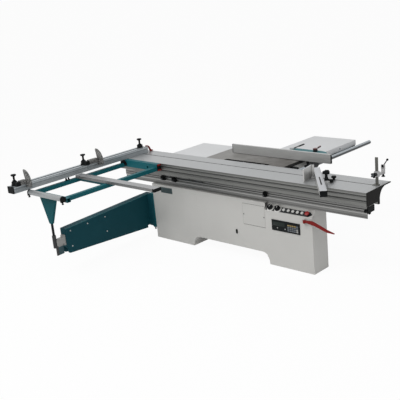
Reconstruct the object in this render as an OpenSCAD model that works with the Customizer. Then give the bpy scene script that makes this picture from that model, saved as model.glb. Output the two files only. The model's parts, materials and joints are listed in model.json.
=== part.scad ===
// Sliding table saw: base, saw unit, sliding table, outrigger, fences and clamp.
// X runs along the table's travel, Y from the outrigger to the rip fence, Z up from the floor.
// The origin lies on the floor, midway between the four anchor holes.

/* [Base] */
// Distance from the origin to the far end of the base
base_far = 1015; // [990:1:1030]
// Distance from the origin to the near end of the base
base_near = 1023; // [1010:1:1040]
// Distance from the origin to the front face of the base
base_front = 368; // [362:1:374]
// Depth of the base
base_d = 212; // [206:1:220]
// Height of the base
base_h = 600; // [594:1:602]
// Thickness of the sheet steel
sheet_t = 5; // [3:0.5:6]
// Height of the arch between the two feet
arch_h = 107; // [100:1:130]
// Radius of the upper corners of the arch
arch_r = 90; // [70:1:98]
// Distance from the origin to the far side of the arch
arch_far = 469; // [450:1:480]
// Distance from the origin to the near side of the arch
arch_near = 521; // [510:1:530]
// Half of the opening in the back wall that the saw unit swings into
window_half = 425; // [400:1:428]
// Thickness of the floor plates
floor_t = 8; // [6:1:12]
// Half the spacing of the anchor holes along the travel
anchor_x = 565; // [555:1:580]
// Half the spacing of the anchor holes across the travel
anchor_y = 265; // [255:1:275]
// Radius of an anchor hole
anchor_r = 9; // [6:0.5:12]

/* [Cabinet] */
// Distance from the origin to the far wall of the cabinet
cab_far = 440; // [432:1:448]
// Distance from the origin to the near wall of the cabinet
cab_near = 510; // [500:1:512]
// Distance from the origin to the back wall of the cabinet
cab_back = 390; // [380:1:394]
// Reach of a rear foot plate past its anchor hole
foot_reach = 45; // [30:1:60]

/* [Control panel] */
// Distance from the origin to the far side of the control panel
panel_far = 498; // [490:1:505]
// How far the control panel stands proud of the base
panel_proud = 8; // [6:0.5:10]
// Height of the lower edge of the sloping desk
desk_low = 533; // [525:1:538]
// Rise of the sloping desk
desk_rise = 37; // [34:1:42]
// Run of the sloping desk
desk_run = 50; // [46:1:54]
// Length of the flat strip behind the desk
desk_back = 30; // [20:1:40]
// Radius of a selector knob
knob_r = 25; // [20:0.5:28]
// Height of a selector knob
knob_h = 22; // [16:0.5:30]
// Radius of a push button
button_r = 14; // [10:0.5:16]
// Radius of the stop button
stop_r = 24; // [18:0.5:27]
// Travel of the push buttons
press_travel = 4; // [3:0.5:6]
// Height of a push button when released
button_h = 10; // [8:0.5:14]
// Height of the stop button when released
stop_h = 26; // [22:1:30]
// Width of the display unit
display_w = 310; // [290:1:330]
// Height of the display unit
display_h = 97; // [90:1:105]
// Thickness of the display unit
display_t = 8; // [6:0.5:12]
// Width of the access panel
access_w = 266; // [250:1:280]
// Height of the access panel
access_h = 203; // [190:1:210]
// Radius of the door latch's round ends
latch_r = 10; // [8:0.5:12]
// Length of the door latch between its round ends
latch_l = 25; // [20:1:30]
// Length of the knee lever past its pivot
lever_reach = 330; // [300:1:350]

/* [Lower beam and carriage] */
// Length of the lower beam
beam_l = 3000; // [2950:1:3050]
// Distance from the origin to the far end of the beam
beam_far = 1445; // [1430:1:1460]
// Height of the beam
beam_h = 100; // [98:1:102]
// Thickness of the beam's upright
beam_web = 40; // [36:1:42]
// Depth of the beam's foot
beam_foot = 92; // [88:1:94]
// Thickness of the beam's foot
beam_foot_t = 14; // [10:1:16]
// Setback of the beam from the front of the base
beam_setback = 28; // [24:1:32]
// Length of the roller carriage
carriage_l = 1200; // [1150:1:1250]
// Number of rollers in the carriage
roller_count = 5; // [3:1:7]

/* [Sliding table] */
// Height of the table top above the floor
table_top = 870; // [867:1:873]
// Length of the sliding table
table_l = 3000; // [2960:1:3040]
// Distance from the origin to the far end of the sliding table
table_far = 1360; // [1345:1:1375]
// Distance from the origin to the front edge of the sliding table
table_front = 473; // [470:1:476]
// Width of the sliding table
table_w = 375; // [372:1:378]
// Width of the table's hollow box
box_w = 194; // [190:1:198]
// Height of the table's hollow box
box_h = 116; // [112:1:118]
// Thickness of the table's wing
wing_t = 8; // [6:0.5:10]
// Radius of the hollow under the wing
hollow_r = 95; // [90:1:98]
// Width of a slot mouth
slot_w = 12; // [8:1:14]
// Depth of a slot
slot_d = 15; // [12:1:17]

/* [Main table and extensions] */
// Distance from the origin to the far edge of the main table
main_far = 451; // [448:1:455]
// Distance from the origin to the near edge of the main table
main_near = 524; // [520:1:528]
// Width of the main table
main_w = 490; // [486:1:494]
// Thickness of the main table
main_t = 31; // [28:1:33]
// Gap between the sliding table and the main table
table_gap = 2; // [1.5:0.5:3]
// Length of the rear extension
rear_l = 486; // [470:1:500]
// Distance from the origin to the far edge of the right extension
ext_far = 42; // [30:1:60]
// Distance from the origin to the near edge of the right extension
ext_near = 560; // [555:1:565]
// Width of the right extension
ext_w = 704; // [690:1:720]
// Thickness of the right extension
ext_t = 54; // [50:1:56]
// Wall thickness of the extensions
ext_wall = 8; // [6:1:10]
// Radius of the guide bar
bar_r = 20; // [18:0.5:21]
// Distance from the origin to the axis of the guide bar
bar_x = 591; // [588:1:594]
// Depth of the guide bar's axis below the table top
bar_drop = 68; // [66:1:72]
// Length of the guide bar
bar_l = 1370; // [1350:1:1390]
// Distance from the origin to the front end of the guide bar
bar_front = 60; // [50:1:62]

/* [Rip fence] */
// Distance from the origin to the face of the rip fence
rip_y = 156; // [150:1:165]
// Length of the rip fence bar
rip_l = 1184; // [1150:1:1220]
// Distance from the origin to the far end of the rip fence bar
rip_far = 304; // [290:1:320]
// Height of the rip fence bar
rip_h = 89; // [85:1:93]
// Thickness of the rip fence bar
rip_t = 22; // [20:1:26]
// Height of the rip fence above the table
rip_lift = 5; // [4:0.5:6]
// Length of the rip fence carrier along the fence
carrier_l = 455; // [440:1:465]
// Length of the carrier's sleeve on the guide bar
sleeve_l = 190; // [170:1:200]

/* [Saw unit] */
// Radius of the main saw blade
blade_r = 150; // [140:1:150]
// Thickness of the main saw blade
blade_t = 3.2; // [2.4:0.2:4]
// Number of teeth on the main saw blade
blade_teeth = 48; // [24:2:60]
// Distance from the origin to the main arbor
blade_x = 20; // [15:1:25]
// Distance of the blade from the sliding table's edge
blade_off = 28; // [26:1:29]
// Depth of the lowered arbor below the table top
arbor_drop = 155; // [154:1:157]
// Travel of the saw carriage
lift_travel = 85; // [75:1:86]
// Radius of the scoring blade
score_r = 60; // [50:1:60]
// Distance from the origin to the scoring arbor
score_x = 260; // [255:1:265]
// Travel of the scoring unit
score_travel = 6; // [4:0.5:8]
// Radius of both belt pulleys
pulley_r = 30; // [27:0.5:31]
// Thickness of the drive belt
belt_t = 5; // [4:0.5:6]
// Radius of the arbor and motor shafts
shaft_r = 12; // [10:0.5:13]
// Distance between the arbor and the motor shaft
belt_centres = 260; // [255:1:265]
// Radius of the motor
motor_r = 95; // [85:1:97]
// Length of the motor
motor_l = 218; // [200:1:225]
// Radius of the trunnion's running face
trunnion_r = 150; // [148:1:151]

/* [Crosscut fence] */
// Distance from the table's far end to the middle of the fence
fence_end = 85.5; // [80:0.5:90]
// Width of the fence
fence_w = 89; // [85:1:93]
// Height of the fence
fence_h = 65; // [62:1:70]
// Distance from the origin to the outer end of the fence
fence_out = 1880; // [1860:1:1900]
// Distance from the origin to the inner end of the fence
fence_in = 185; // [180:1:195]
// Distance from the origin to the fence's swivel and the top slot
fence_pivot = 250; // [246:1:254]
// Distance from the origin to the outer stop finger
stop_1_y = 1735; // [1700:1:1745]
// Distance from the origin to the inner stop finger
stop_2_y = 870; // [840:1:900]
// Distance from the outer stop finger to its slider
stop_1_off = 95; // [85:1:100]
// Distance from the inner stop finger to its slider
stop_2_off = 145; // [135:1:155]
// Height of a stop finger above the fence
finger_rise = 134; // [125:1:140]
// Radius of a clamping knob
grip_r = 24; // [20:0.5:26]

/* [Outrigger] */
// Distance from the origin to the far end of the end beam
out_far = 1241; // [1235:1:1245]
// Length of the end beam
out_l = 504; // [495:1:510]
// Thickness of the end beam
out_t = 52; // [48:1:56]
// Height of the end beam
out_h = 70; // [66:1:74]
// Width of the frame tubes
tube_w = 40; // [36:1:42]
// Distance from the origin to the outer cross tube
out_y = 1655; // [1640:1:1665]
// Distance from the origin to the middle cross tube
mid_y = 1105; // [1095:1:1115]
// Distance from the origin to the rear tube
rear_tube_x = 1240; // [1236:1:1244]
// Distance from the origin to the front tube
front_tube_x = 765; // [760:1:770]
// Length of the support bar
support_l = 1134; // [1100:1:1160]
// Width of the support bar
support_w = 83; // [78:1:88]
// Thickness of the support bar
support_t = 30; // [27:1:31]
// Radius of the load roller
load_r = 25; // [22:0.5:25]
// Distance from the origin to the leg
leg_x = 1035; // [1025:1:1045]
// Height of the leg below the frame
leg_h = 255; // [245:1:265]
// Radius of the leg rod
rod_r = 12; // [9:0.5:14]
// Height of the lower end of the leg rod
rod_low = 425; // [422:1:430]

/* [Swing arm] */
// Distance from the origin to the arm's hinge along the travel
hinge_x = 1050; // [1048:1:1055]
// Distance from the origin to the arm's hinge across the travel
hinge_y = 355; // [350:1:360]
// Angle of the arm from square
arm_angle = 4.65; // [4:0.05:5]
// Length of the arm past its hinge
arm_l = 1187; // [1170:1:1195]
// Thickness of the arm
arm_t = 63; // [60:1:66]
// Offset of the arm's face from its hinge
arm_off = 51; // [50:1:54]
// Height of the arm's top edge
arm_top = 475; // [472:1:480]
// Height of the arm's bottom edge at the hinge
arm_low = 125; // [120:1:130]
// Rise of the arm's bottom edge toward its end
arm_rise = 115; // [105:1:120]
// Radius of the hinge pin
pin_r = 12; // [10:0.5:14]
// Height of the extension tube
slide_h = 100; // [94:1:104]
// Height of the underside of the extension tube
slide_z = 300; // [296:1:304]
// Length of the extension tube
slide_l = 900; // [880:1:920]

/* [Mitre fence] */
// Distance from the table's near end to the mitre fence's swivel
mitre_in = 620; // [610:1:630]
// Length of the mitre fence bar
mitre_l = 744; // [730:1:760]
// Length of the mitre fence bar behind its swivel
mitre_back = 160; // [150:1:165]
// Width of the mitre fence bar
mitre_w = 59; // [55:1:62]
// Height of the mitre fence bar
mitre_h = 48; // [44:1:52]
// Angle of the mitre fence bar
mitre_angle = 51; // [49:1:53]
// Height of the mitre fence's face plate
face_h = 113; // [105:1:120]
// Length of the mitre fence's face plate
face_l = 163; // [150:1:170]

/* [Hold-down clamp] */
// Distance from the table's near end to the clamp post
post_end = 55; // [50:1:65]
// Distance of the post from the table's front edge
post_in = 248; // [244:1:252]
// Height of the clamp post above the table
post_h = 230; // [220:1:240]
// Width of the clamp post
post_w = 25; // [22:1:28]
// Thickness of the clamp post
post_t = 10; // [8:0.5:12]
// Reach of the clamp arm
clamp_reach = 100; // [94:1:106]

/* [Fits] */
// Clearance between pieces that move past each other
gap = 0.3; // [0.2:0.05:0.5]
// Radial clearance of a shaft in its bore
fit = 0.05; // [0.02:0.01:0.1]
// Root gap of a weld between two plates
weld = 0.2; // [0.1:0.05:0.3]
// Overrun of a cut past the face that it opens
cut = 1; // [0.5:0.5:2]

/* [Hidden] */
$fn = 64;
base_x0 = -base_far;
base_x1 = base_near;
base_y0 = -base_front;
base_y1 = base_d - base_front;
table_x0 = -table_far;
table_x1 = table_l - table_far;
fence_x = table_far - fence_end;
mitre_x = table_x1 - mitre_in;
post_x = table_x1 - post_end;
table_y0 = -table_front;
table_y1 = table_w - table_front;
main_y0 = table_y1 + table_gap;
main_y1 = main_y0 + main_w;
main_z0 = table_top - main_t;
beam_x0 = -beam_far;
beam_x1 = beam_l - beam_far;
beam_y0 = base_y0 + beam_setback;
beam_z1 = base_h + beam_h;
box_z0 = table_top - box_h;
blade_y = table_y1 + blade_off;
latch_share = 0.25;
latch_rise_share = 0.43;
grey = [0.78, 0.77, 0.74];
teal = [0.1, 0.42, 0.45];
dark = [0.12, 0.12, 0.13];
silver = [0.74, 0.75, 0.76];
iron = [0.42, 0.4, 0.38];
red = [0.6, 0.08, 0.08];

// A block between two corners
module block(lo, hi) translate(lo) cube(hi - lo);

// A round bar along one axis
module rod_x(x0, x1, y, z, r) translate([x0, y, z]) rotate([0, 90, 0]) cylinder(h = x1 - x0, r = r);
module rod_y(x, y0, y1, z, r) translate([x, y0, z]) rotate([-90, 0, 0]) cylinder(h = y1 - y0, r = r);
module rod_z(x, y, z0, z1, r) translate([x, y, z0]) cylinder(h = z1 - z0, r = r);

// A section swept along one axis
module sweep_x(x0, x1) translate([x0, 0, 0]) rotate([90, 0, 90]) linear_extrude(x1 - x0) children();
module sweep_y(y0, y1) translate([0, y1, 0]) rotate([90, 0, 0]) linear_extrude(y1 - y0) children();

// The base: welded sheet panels round two feet and an arch
desk_top_y = base_y0 - panel_proud + desk_run;
lid_y = desk_top_y + desk_back;
latch_x = latch_share * arch_near;
latch_z = latch_rise_share * base_h;
latch_stem = latch_r / 2;
strip_y1 = beam_y0 + beam_foot - sheet_t / 2;
panel_top = desk_low - sheet_t;

// Face of one foot with its corner of the arch
module foot_2d(end_x, side_x, top) {
    dir = sign(side_x - end_x);
    seam_x = side_x + dir * arch_r;
    difference() {
        translate([min(end_x, seam_x), 0]) square([abs(seam_x - end_x), top]);
        translate([seam_x, arch_h - arch_r]) circle(r = arch_r);
        translate([min(side_x, side_x + dir * (arch_r + cut)), -cut])
            square([arch_r + cut, arch_h - arch_r + cut]);
    }
}

// Lining of one corner of the arch
module liner_2d(side_x, dir) {
    seam_x = side_x + dir * arch_r;
    low = arch_h - arch_r;
    intersection() {
        translate([seam_x, low]) difference() {
            circle(r = arch_r + sheet_t);
            circle(r = arch_r);
        }
        translate([min(side_x - dir * sheet_t, seam_x), low]) square(arch_r + sheet_t);
    }
    translate([min(side_x - dir * sheet_t, side_x), 0]) square([sheet_t, low]);
}

module base_shell() color(grey) {
    in_y0 = base_y0 + sheet_t + weld;
    in_y1 = base_y1 - sheet_t - weld;
    lid_z = base_h - sheet_t;
    seam_far = arch_r - arch_far;
    seam_near = arch_near - arch_r;
    sweep_y(base_y0, base_y0 + sheet_t) foot_2d(base_x0, -arch_far, lid_z - weld);
    sweep_y(base_y0, base_y0 + sheet_t) foot_2d(base_x1, arch_near, panel_top);
    difference() {
        block([seam_far + weld, base_y0, arch_h], [seam_near - weld, base_y0 + sheet_t, lid_z - weld]);
        rod_y(latch_x, base_y0 - cut, base_y0 + sheet_t + cut, latch_z, latch_stem + fit);
    }
    block([seam_near, base_y0, panel_top + weld], [panel_far - weld, base_y0 + sheet_t, lid_z - weld]);
    for (end = [[base_x0, -arch_far, -window_half], [base_x1, arch_near, window_half]])
        sweep_y(base_y1 - sheet_t, base_y1) intersection() {
            foot_2d(end[0], end[1], lid_z - weld);
            translate([min(end[0], end[2]), 0]) square([abs(end[2] - end[0]), base_h]);
        }
    block([base_x0, in_y0, 0], [base_x0 + sheet_t, in_y1, lid_z - weld]);
    block([base_x1 - sheet_t, in_y0, 0], [base_x1, in_y1, panel_top]);
    block([base_x1 - sheet_t, desk_top_y + sheet_t + weld, panel_top + weld],
          [base_x1, in_y1, lid_z - weld]);
    block([base_x0, base_y0, lid_z], [panel_far - weld, strip_y1, base_h]);
    block([panel_far, lid_y + weld, lid_z], [base_x1, strip_y1, base_h]);
    block([base_x0, strip_y1 + weld, lid_z], [-window_half, base_y1, base_h]);
    block([window_half, strip_y1 + weld, lid_z], [base_x1, base_y1, base_h]);
    sweep_y(in_y0, in_y1) liner_2d(-arch_far, 1);
    sweep_y(in_y0, in_y1) liner_2d(arch_near, -1);
    block([seam_far + weld, in_y0, arch_h], [seam_near - weld, in_y1, arch_h + sheet_t]);
    difference() {
        union() {
            block([base_x0 + sheet_t + weld, in_y0, 0], [-arch_far - sheet_t - weld, in_y1, floor_t]);
            block([arch_near + sheet_t + weld, in_y0, 0], [base_x1 - sheet_t - weld, in_y1, floor_t]);
        }
        for (x = [-anchor_x, anchor_x])
            rod_z(x, -anchor_y, -cut, floor_t + cut, anchor_r);
    }
}

// The cabinet behind the base, open toward it
module saw_cabinet() color(grey) {
    y0 = base_y1 + weld;
    block([-cab_far, y0, 0], [-cab_far + sheet_t, cab_back, main_z0]);
    block([cab_near - sheet_t, y0, 0], [cab_near, cab_back, main_z0]);
    block([-cab_far + sheet_t + weld, cab_back - sheet_t, 0],
          [cab_near - sheet_t - weld, cab_back, main_z0]);
    for (foot = [[-cab_far - weld, -1], [cab_near + weld, 1]]) {
        end_x = foot[1] * (anchor_x + foot_reach);
        difference() {
            block([min(foot[0], end_x), anchor_y - foot_reach, 0],
                  [max(foot[0], end_x), anchor_y + foot_reach, floor_t]);
            rod_z(foot[1] * anchor_x, anchor_y, -cut, floor_t + cut, anchor_r);
        }
    }
}

// The control panel: a folded skin with a sloping desk
panel_y0 = base_y0 - panel_proud;
panel_l = base_x1 - panel_far;
desk_t = panel_proud / 2;
desk_angle = atan2(desk_rise, desk_run);
desk_slope = desk_rise / desk_run;
knob_shares = [0.1, 0.26];
button_shares = [0.39, 0.49, 0.585, 0.68, 0.775];
stop_share = 0.885;
stem_share = 0.25;
stem_l = 4 * desk_t;
lever_share = 0.86;
lever_rise_share = 0.8;
lever_x = panel_far + lever_share * panel_l;
lever_y = panel_y0 - 2 * panel_proud;
lever_z = lever_rise_share * base_h;
lever_hub_h = 4 * panel_proud;
lever_hub_r = panel_proud * 1.5;
lever_pin_r = lever_hub_r / 2;
lever_t = panel_proud;

// Puts a control on the sloping desk
module on_desk(share) {
    translate([panel_far + share * panel_l, panel_y0 + desk_run / 2, desk_low + desk_rise / 2])
        rotate([desk_angle, 0, 0]) children();
}

module control_console() color(grey) {
    under = desk_t / cos(desk_angle);
    riser_y = desk_top_y + desk_t;
    seam_near = arch_near - arch_r;
    difference() {
        sweep_x(panel_far, base_x1) polygon([
            [panel_y0, 0], [panel_y0, desk_low], [desk_top_y, desk_low + desk_rise],
            [desk_top_y, base_h], [lid_y, base_h], [lid_y, base_h - desk_t],
            [riser_y, base_h - desk_t], [riser_y, desk_low + desk_slope * (desk_run + desk_t) - under],
            [base_y0, desk_low + desk_slope * panel_proud - under], [base_y0, 0]]);
        sweep_y(panel_y0 - cut, base_y0 + cut) {
            translate([seam_near, arch_h - arch_r]) circle(r = arch_r);
            translate([seam_near, -cut]) square([arch_r, arch_h - arch_r + cut]);
        }
        for (share = knob_shares)
            on_desk(share) cylinder(h = stem_l, r = stem_share * knob_r + fit, center = true);
        for (share = button_shares)
            on_desk(share) cylinder(h = stem_l, r = stem_share * button_r + fit, center = true);
        on_desk(stop_share) cylinder(h = stem_l, r = stem_share * stop_r + fit, center = true);
    }
    block([lever_x - lever_hub_r, lever_y - lever_hub_r, lever_z - panel_proud],
          [lever_x + lever_hub_r, panel_y0 - weld, lever_z]);
    rod_z(lever_x, lever_y, lever_z, lever_z + lever_hub_h + panel_proud, lever_pin_r);
}

module selector_knob(i) color(dark) on_desk(knob_shares[i]) {
    translate([0, 0, gap]) cylinder(h = knob_h, r = knob_r);
    translate([0, 0, -stem_l]) cylinder(h = stem_l + knob_h, r = stem_share * knob_r);
}

module push_button(share, r, h) on_desk(share) {
    translate([0, 0, press_travel + gap]) cylinder(h = h - press_travel, r = r);
    translate([0, 0, -stem_l]) cylinder(h = stem_l + h, r = stem_share * r);
}

module button(i) color("white") push_button(button_shares[i], button_r, button_h);

module stop_button() color(red) push_button(stop_share, stop_r, stop_h);

display_share = 0.152;
display_rise_share = 0.67;

module display_unit() color(dark) {
    x0 = panel_far + display_share * panel_l;
    z0 = display_rise_share * desk_low;
    block([x0, panel_y0 - display_t, z0], [x0 + display_w, panel_y0, z0 + display_h]);
}

access_rise_share = 0.592;

module access_panel() color(grey) {
    x1 = panel_far - sheet_t;
    z0 = access_rise_share * base_h;
    block([x1 - access_w, base_y0 - sheet_t / 2, z0], [x1, base_y0, z0 + access_h]);
}

// Side of the knee lever in shares of its reach and its hub's height
lever_side_shares = [[0, 0.1], [0, 0.9], [0.27, 1], [0.51, 0.19], [0.72, -0.66], [0.945, -1.3],
                 [0.945, -1.56], [0.71, -1.47], [0.53, -0.9], [0.34, -0.28], [0.08, 0.2]];

module knee_lever() color(red) difference() {
    union() {
        rod_z(lever_x, lever_y, lever_z + gap, lever_z + lever_hub_h, lever_hub_r);
        sweep_y(lever_y - lever_t / 2, lever_y + lever_t / 2)
            polygon([for (p = lever_side_shares)
                [lever_x + p[0] * lever_reach, lever_z + p[1] * lever_hub_h]]);
    }
    rod_z(lever_x, lever_y, lever_z - cut, lever_z + lever_hub_h + cut, lever_pin_r + fit);
}

module door_latch() color(dark) {
    face_y = base_y0 - gap;
    for (side = [-1, 1])
        rod_y(latch_x, face_y - sheet_t, face_y, latch_z + side * latch_l / 2, latch_r);
    block([latch_x - latch_r, face_y - sheet_t, latch_z - latch_l / 2],
          [latch_x + latch_r, face_y, latch_z + latch_l / 2]);
    rod_y(latch_x, face_y, base_y0 + 2 * sheet_t, latch_z, latch_stem);
}

// The lower beam: an upright on a foot, with plates closing both ends
groove = beam_h / 25;
groove_shares = [0.59, 0.82];

rail_share = 0.5;

module lower_beam() color(silver) {
    web_y1 = beam_y0 + beam_web;
    foot_y1 = beam_y0 + beam_foot;
    lip_y1 = beam_y0 + beam_foot_t / 2;
    rail_z = base_h + rail_share * beam_h;
    difference() {
        union() {
            block([beam_x0, beam_y0, rail_z], [beam_x1, web_y1, beam_z1]);
            block([beam_x0, beam_y0, base_h], [beam_x1, lip_y1, rail_z + cut]);
        }
        for (share = groove_shares)
            block([beam_x0 - cut, beam_y0 - cut, base_h + share * beam_h - groove / 2],
                  [beam_x1 + cut, beam_y0 + groove, base_h + share * beam_h + groove / 2]);
    }
    block([base_x0, lip_y1 + weld, base_h], [base_x1, foot_y1, base_h + beam_foot_t]);
    block([base_x0, lip_y1 + weld, base_h + beam_foot_t], [base_x1, web_y1, rail_z - weld]);
    for (x = [beam_x0, beam_x1 - beam_web])
        block([x, web_y1 + weld, rail_z], [x + beam_web, foot_y1, beam_z1]);
}

// The carriage of rollers between the beam and the sliding table
carriage_x = (beam_x0 + beam_x1 + table_x0 + table_x1) / 4;
roller_z = (beam_z1 + box_z0) / 2;
roller_r = (box_z0 - beam_z1) / 2 - gap;
strap_t = beam_web / 4;
roller_shares = [0.1, 0.82];

module roller_carriage() color(dark) {
    x0 = carriage_x - carriage_l / 2;
    y0 = beam_y0 + roller_shares[0] * beam_web;
    block([x0, y0 - strap_t, roller_z - strap_t * 1.5], [x0 + carriage_l, y0, roller_z + strap_t * 1.5]);
    pitch = (carriage_l - 2 * roller_r) / (roller_count - 1);
    for (i = [0 : roller_count - 1])
        rod_y(x0 + roller_r + i * pitch, y0 - strap_t / 2, beam_y0 + roller_shares[1] * beam_web,
              roller_z, roller_r);
}

// The main table, notched for the saw blades, and its insert
// Shares of the blade's offset: front of the insert, back of the notch, back of the insert
notch_shares = [0.42, 0.8, 1.08];
notch_far_share = 1.53;
notch_near_share = 1.33;
notch_x0 = blade_x - notch_far_share * blade_r;
notch_x1 = score_x + notch_near_share * score_r;
notch_y1 = blade_y + notch_shares[1] * blade_off;
insert_y1 = blade_y + notch_shares[2] * blade_off;
insert_t = sheet_t;

module main_table() color(iron) {
    block([-main_far, main_y0, main_z0], [notch_x0, notch_y1, table_top]);
    block([notch_x1, main_y0, main_z0], [main_near, notch_y1, table_top]);
    difference() {
        block([-main_far, notch_y1 + weld, main_z0], [main_near, main_y1, table_top]);
        block([notch_x0, notch_y1, table_top - insert_t], [notch_x1, insert_y1 + weld, table_top + cut]);
    }
}

module table_insert() color(silver) {
    block([notch_x0 + weld, blade_y + notch_shares[0] * blade_off, table_top - insert_t],
          [notch_x1 - weld, insert_y1, table_top]);
}

// A table plate with a hollow underside
module tray(lo, hi) difference() {
    block(lo, hi);
    block([lo[0] + ext_wall, lo[1] + ext_wall, lo[2] - cut], hi - [ext_wall, ext_wall, ext_wall]);
}

module rear_extension() color(silver) {
    tray([-main_far - rear_l, main_y0, main_z0], [-main_far, main_y1, table_top]);
}

module right_extension() color(silver) {
    tray([ext_far, main_y1, table_top - ext_t], [ext_near, main_y1 + ext_w, table_top]);
}

// The round bar that guides the rip fence, and the saddles that hold it
bar_z = table_top - bar_drop;
saddle_w = 2 * bar_r;
saddle_drop_share = 0.75;
saddle_main_shares = [0.28, 0.9];
saddle_ext_shares = [0.45, 0.93];

module guide_bar() color(silver) rod_y(bar_x, -bar_front, bar_l - bar_front, bar_z, bar_r);

module saddle(x0, y, top) difference() {
    block([x0, y - saddle_w / 2, bar_z - saddle_drop_share * bar_r],
          [bar_x - bar_r / 4, y + saddle_w / 2, top]);
    rod_y(bar_x, y - saddle_w, y + saddle_w, bar_z, bar_r + fit);
}

module bar_brackets() color(dark) {
    for (share = saddle_main_shares)
        saddle(cab_near + weld, main_y0 + share * main_w, main_z0);
    for (share = saddle_ext_shares)
        saddle(ext_near - 2 * saddle_w, main_y1 + share * ext_w, table_top - ext_t);
}

// The bracket and pin that the swing arm turns on
lug_r = 2 * pin_r;
lug_t = pin_r;

module arm_bracket() color(teal) {
    y0 = -hinge_y - lug_r;
    y1 = lug_r * 2 - hinge_y;
    for (z = [arm_low - gap - lug_t, arm_top + gap]) {
        rod_z(-hinge_x, -hinge_y, z, z + lug_t, lug_r);
        block([-hinge_x, y0, z], [base_x0, y1, z + lug_t]);
    }
    block([base_x0 - lug_t / 2, y0, arm_low - gap - lug_t], [base_x0, y1, arm_top + gap + lug_t]);
    rod_z(-hinge_x, -hinge_y, arm_low - lug_t, arm_top + lug_t, pin_r);
}

// The saw unit hangs from two arcs about the line where the blade meets the table top
// Places in it run along X, then away from the blade's plane, then down from the table top
plate = 4 * sheet_t;
tilt_xs = [notch_x0 + 1.5 * plate, notch_x1 + plate];
arc_in_share = 0.67;
arc_span = [-55, 60];
shoe_span = [-8, 50];
shoe_t = plate;
cross_e0 = 4 * plate;
cross_e1 = 5.5 * plate;
cross_d0 = arbor_drop + 1.4 * shaft_r;
cross_d1 = cross_d0 + plate;
guide_e = (cross_e0 + cross_e1) / 2;
guide_r = 0.4 * plate;
guide_xs = [blade_x - 2.5 * plate, blade_x + 2.5 * plate];
slider_d0 = cross_d1 + lift_travel + 0.4 * plate;
slider_d1 = slider_d0 + 4.5 * plate;
motor_d = arbor_drop + belt_centres;
motor_e0 = cross_e1 + 3.6 * plate;
pulley_e1 = motor_e0 - plate / 2;
pulley_e0 = pulley_e1 - 1.35 * plate;
score_d = score_r + blade_t;
score_pin_xs = [score_x - plate, score_x + plate];
score_pin_r = 0.3 * plate;

module unit_block(x, e, d) {
    block([x[0], blade_y + e[0], table_top - d[1]], [x[1], blade_y + e[1], table_top - d[0]]);
}

module unit_rod(x, e, d, r) rod_y(x, blade_y + e[0], blade_y + e[1], table_top - d, r);

module unit_post(x, e, d, r) rod_z(x, blade_y + e, table_top - d[1], table_top - d[0], r);

// Part of a ring below the tilt axis, its angles measured from straight down
module arc_2d(r0, r1, a0, a1) intersection() {
    difference() {
        circle(r = r1);
        circle(r = r0);
    }
    polygon(concat([[0, 0]], [for (a = [a0, (a0 + a1) / 2, a1]) 2 * r1 * [sin(a), -cos(a)]]));
}

module tilt_arc(x, r0, r1, span) {
    sweep_x(x - plate / 2, x + plate / 2)
        translate([blade_y, table_top]) arc_2d(r0, r1, span[0], span[1]);
}

trunnion_lug_shares = [0.6, 0.93, 0.55];

module trunnions() color(iron) for (x = tilt_xs) {
    tilt_arc(x, arc_in_share * trunnion_r, trunnion_r, arc_span);
    unit_block([x - plate / 2, x + plate / 2],
               [trunnion_lug_shares[0], trunnion_lug_shares[1]] * trunnion_r,
               [main_t, trunnion_lug_shares[2] * trunnion_r]);
}

module tilt_cradle() color(iron) {
    shoe_r = trunnion_r + gap;
    difference() {
        union() {
            for (x = tilt_xs) {
                tilt_arc(x, shoe_r, shoe_r + shoe_t, shoe_span);
                unit_block([x - plate / 2, x + plate / 2], [cross_e0, cross_e1],
                           [shoe_r - plate / 4, cross_d1]);
            }
            unit_block([tilt_xs[0], tilt_xs[1]], [cross_e0, cross_e1], [cross_d0, cross_d1]);
        }
        for (x = score_pin_xs)
            unit_post(x, guide_e, [cross_d0 - cut, cross_d1 + cut], score_pin_r + fit);
    }
    for (x = guide_xs)
        unit_post(x, guide_e, [cross_d1 - plate / 2, slider_d1 + plate / 2], guide_r);
}

// The carriage that rises and falls on the cradle's posts, with the riving knife
housing_r = 2 * shaft_r;
arm_half = 1.2 * plate;
knife_gap = 2 * blade_t;
knife_w = 1.5 * plate;
knife_span = [37, 100];

module saw_carriage() color(iron) {
    housing_e = [1.5 * plate, cross_e0 - plate / 2];
    arm_e = [2 * plate, cross_e0 - plate / 10];
    knife_r = blade_r + knife_gap;
    difference() {
        union() {
            unit_block([guide_xs[0] - plate, guide_xs[1] + plate],
                       [cross_e0 - plate / 4, cross_e1 + plate / 2],
                       [slider_d0, slider_d1]);
            unit_block([blade_x - arm_half, blade_x + arm_half], arm_e, [arbor_drop, slider_d0 + plate]);
            unit_rod(blade_x, housing_e, arbor_drop, housing_r);
            unit_block([blade_x + pulley_r + 2 * belt_t, guide_xs[1] + 2 * plate], [cross_e1, motor_e0],
                       [slider_d1 - 2 * plate, slider_d1]);
            unit_block([blade_x - knife_r - knife_w, blade_x], [plate, housing_e[0] + plate / 2],
                       [arbor_drop - plate / 2, arbor_drop + plate / 2]);
            unit_block([blade_x - knife_r - knife_w, blade_x - knife_r - knife_w / 2],
                       [-blade_t / 3, plate + cut],
                       [arbor_drop - plate / 2, arbor_drop + plate / 2]);
            translate([blade_x, blade_y + blade_t / 3, table_top - arbor_drop]) rotate([90, 180, 0])
                linear_extrude(2 * blade_t / 3)
                    arc_2d(knife_r, knife_r + knife_w, knife_span[0], knife_span[1]);
        }
        unit_rod(blade_x, [0, cross_e1], arbor_drop, shaft_r + fit);
        for (x = guide_xs)
            unit_post(x, guide_e, [slider_d0 - cut, slider_d1 + cut], guide_r + fit);
    }
}

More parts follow.
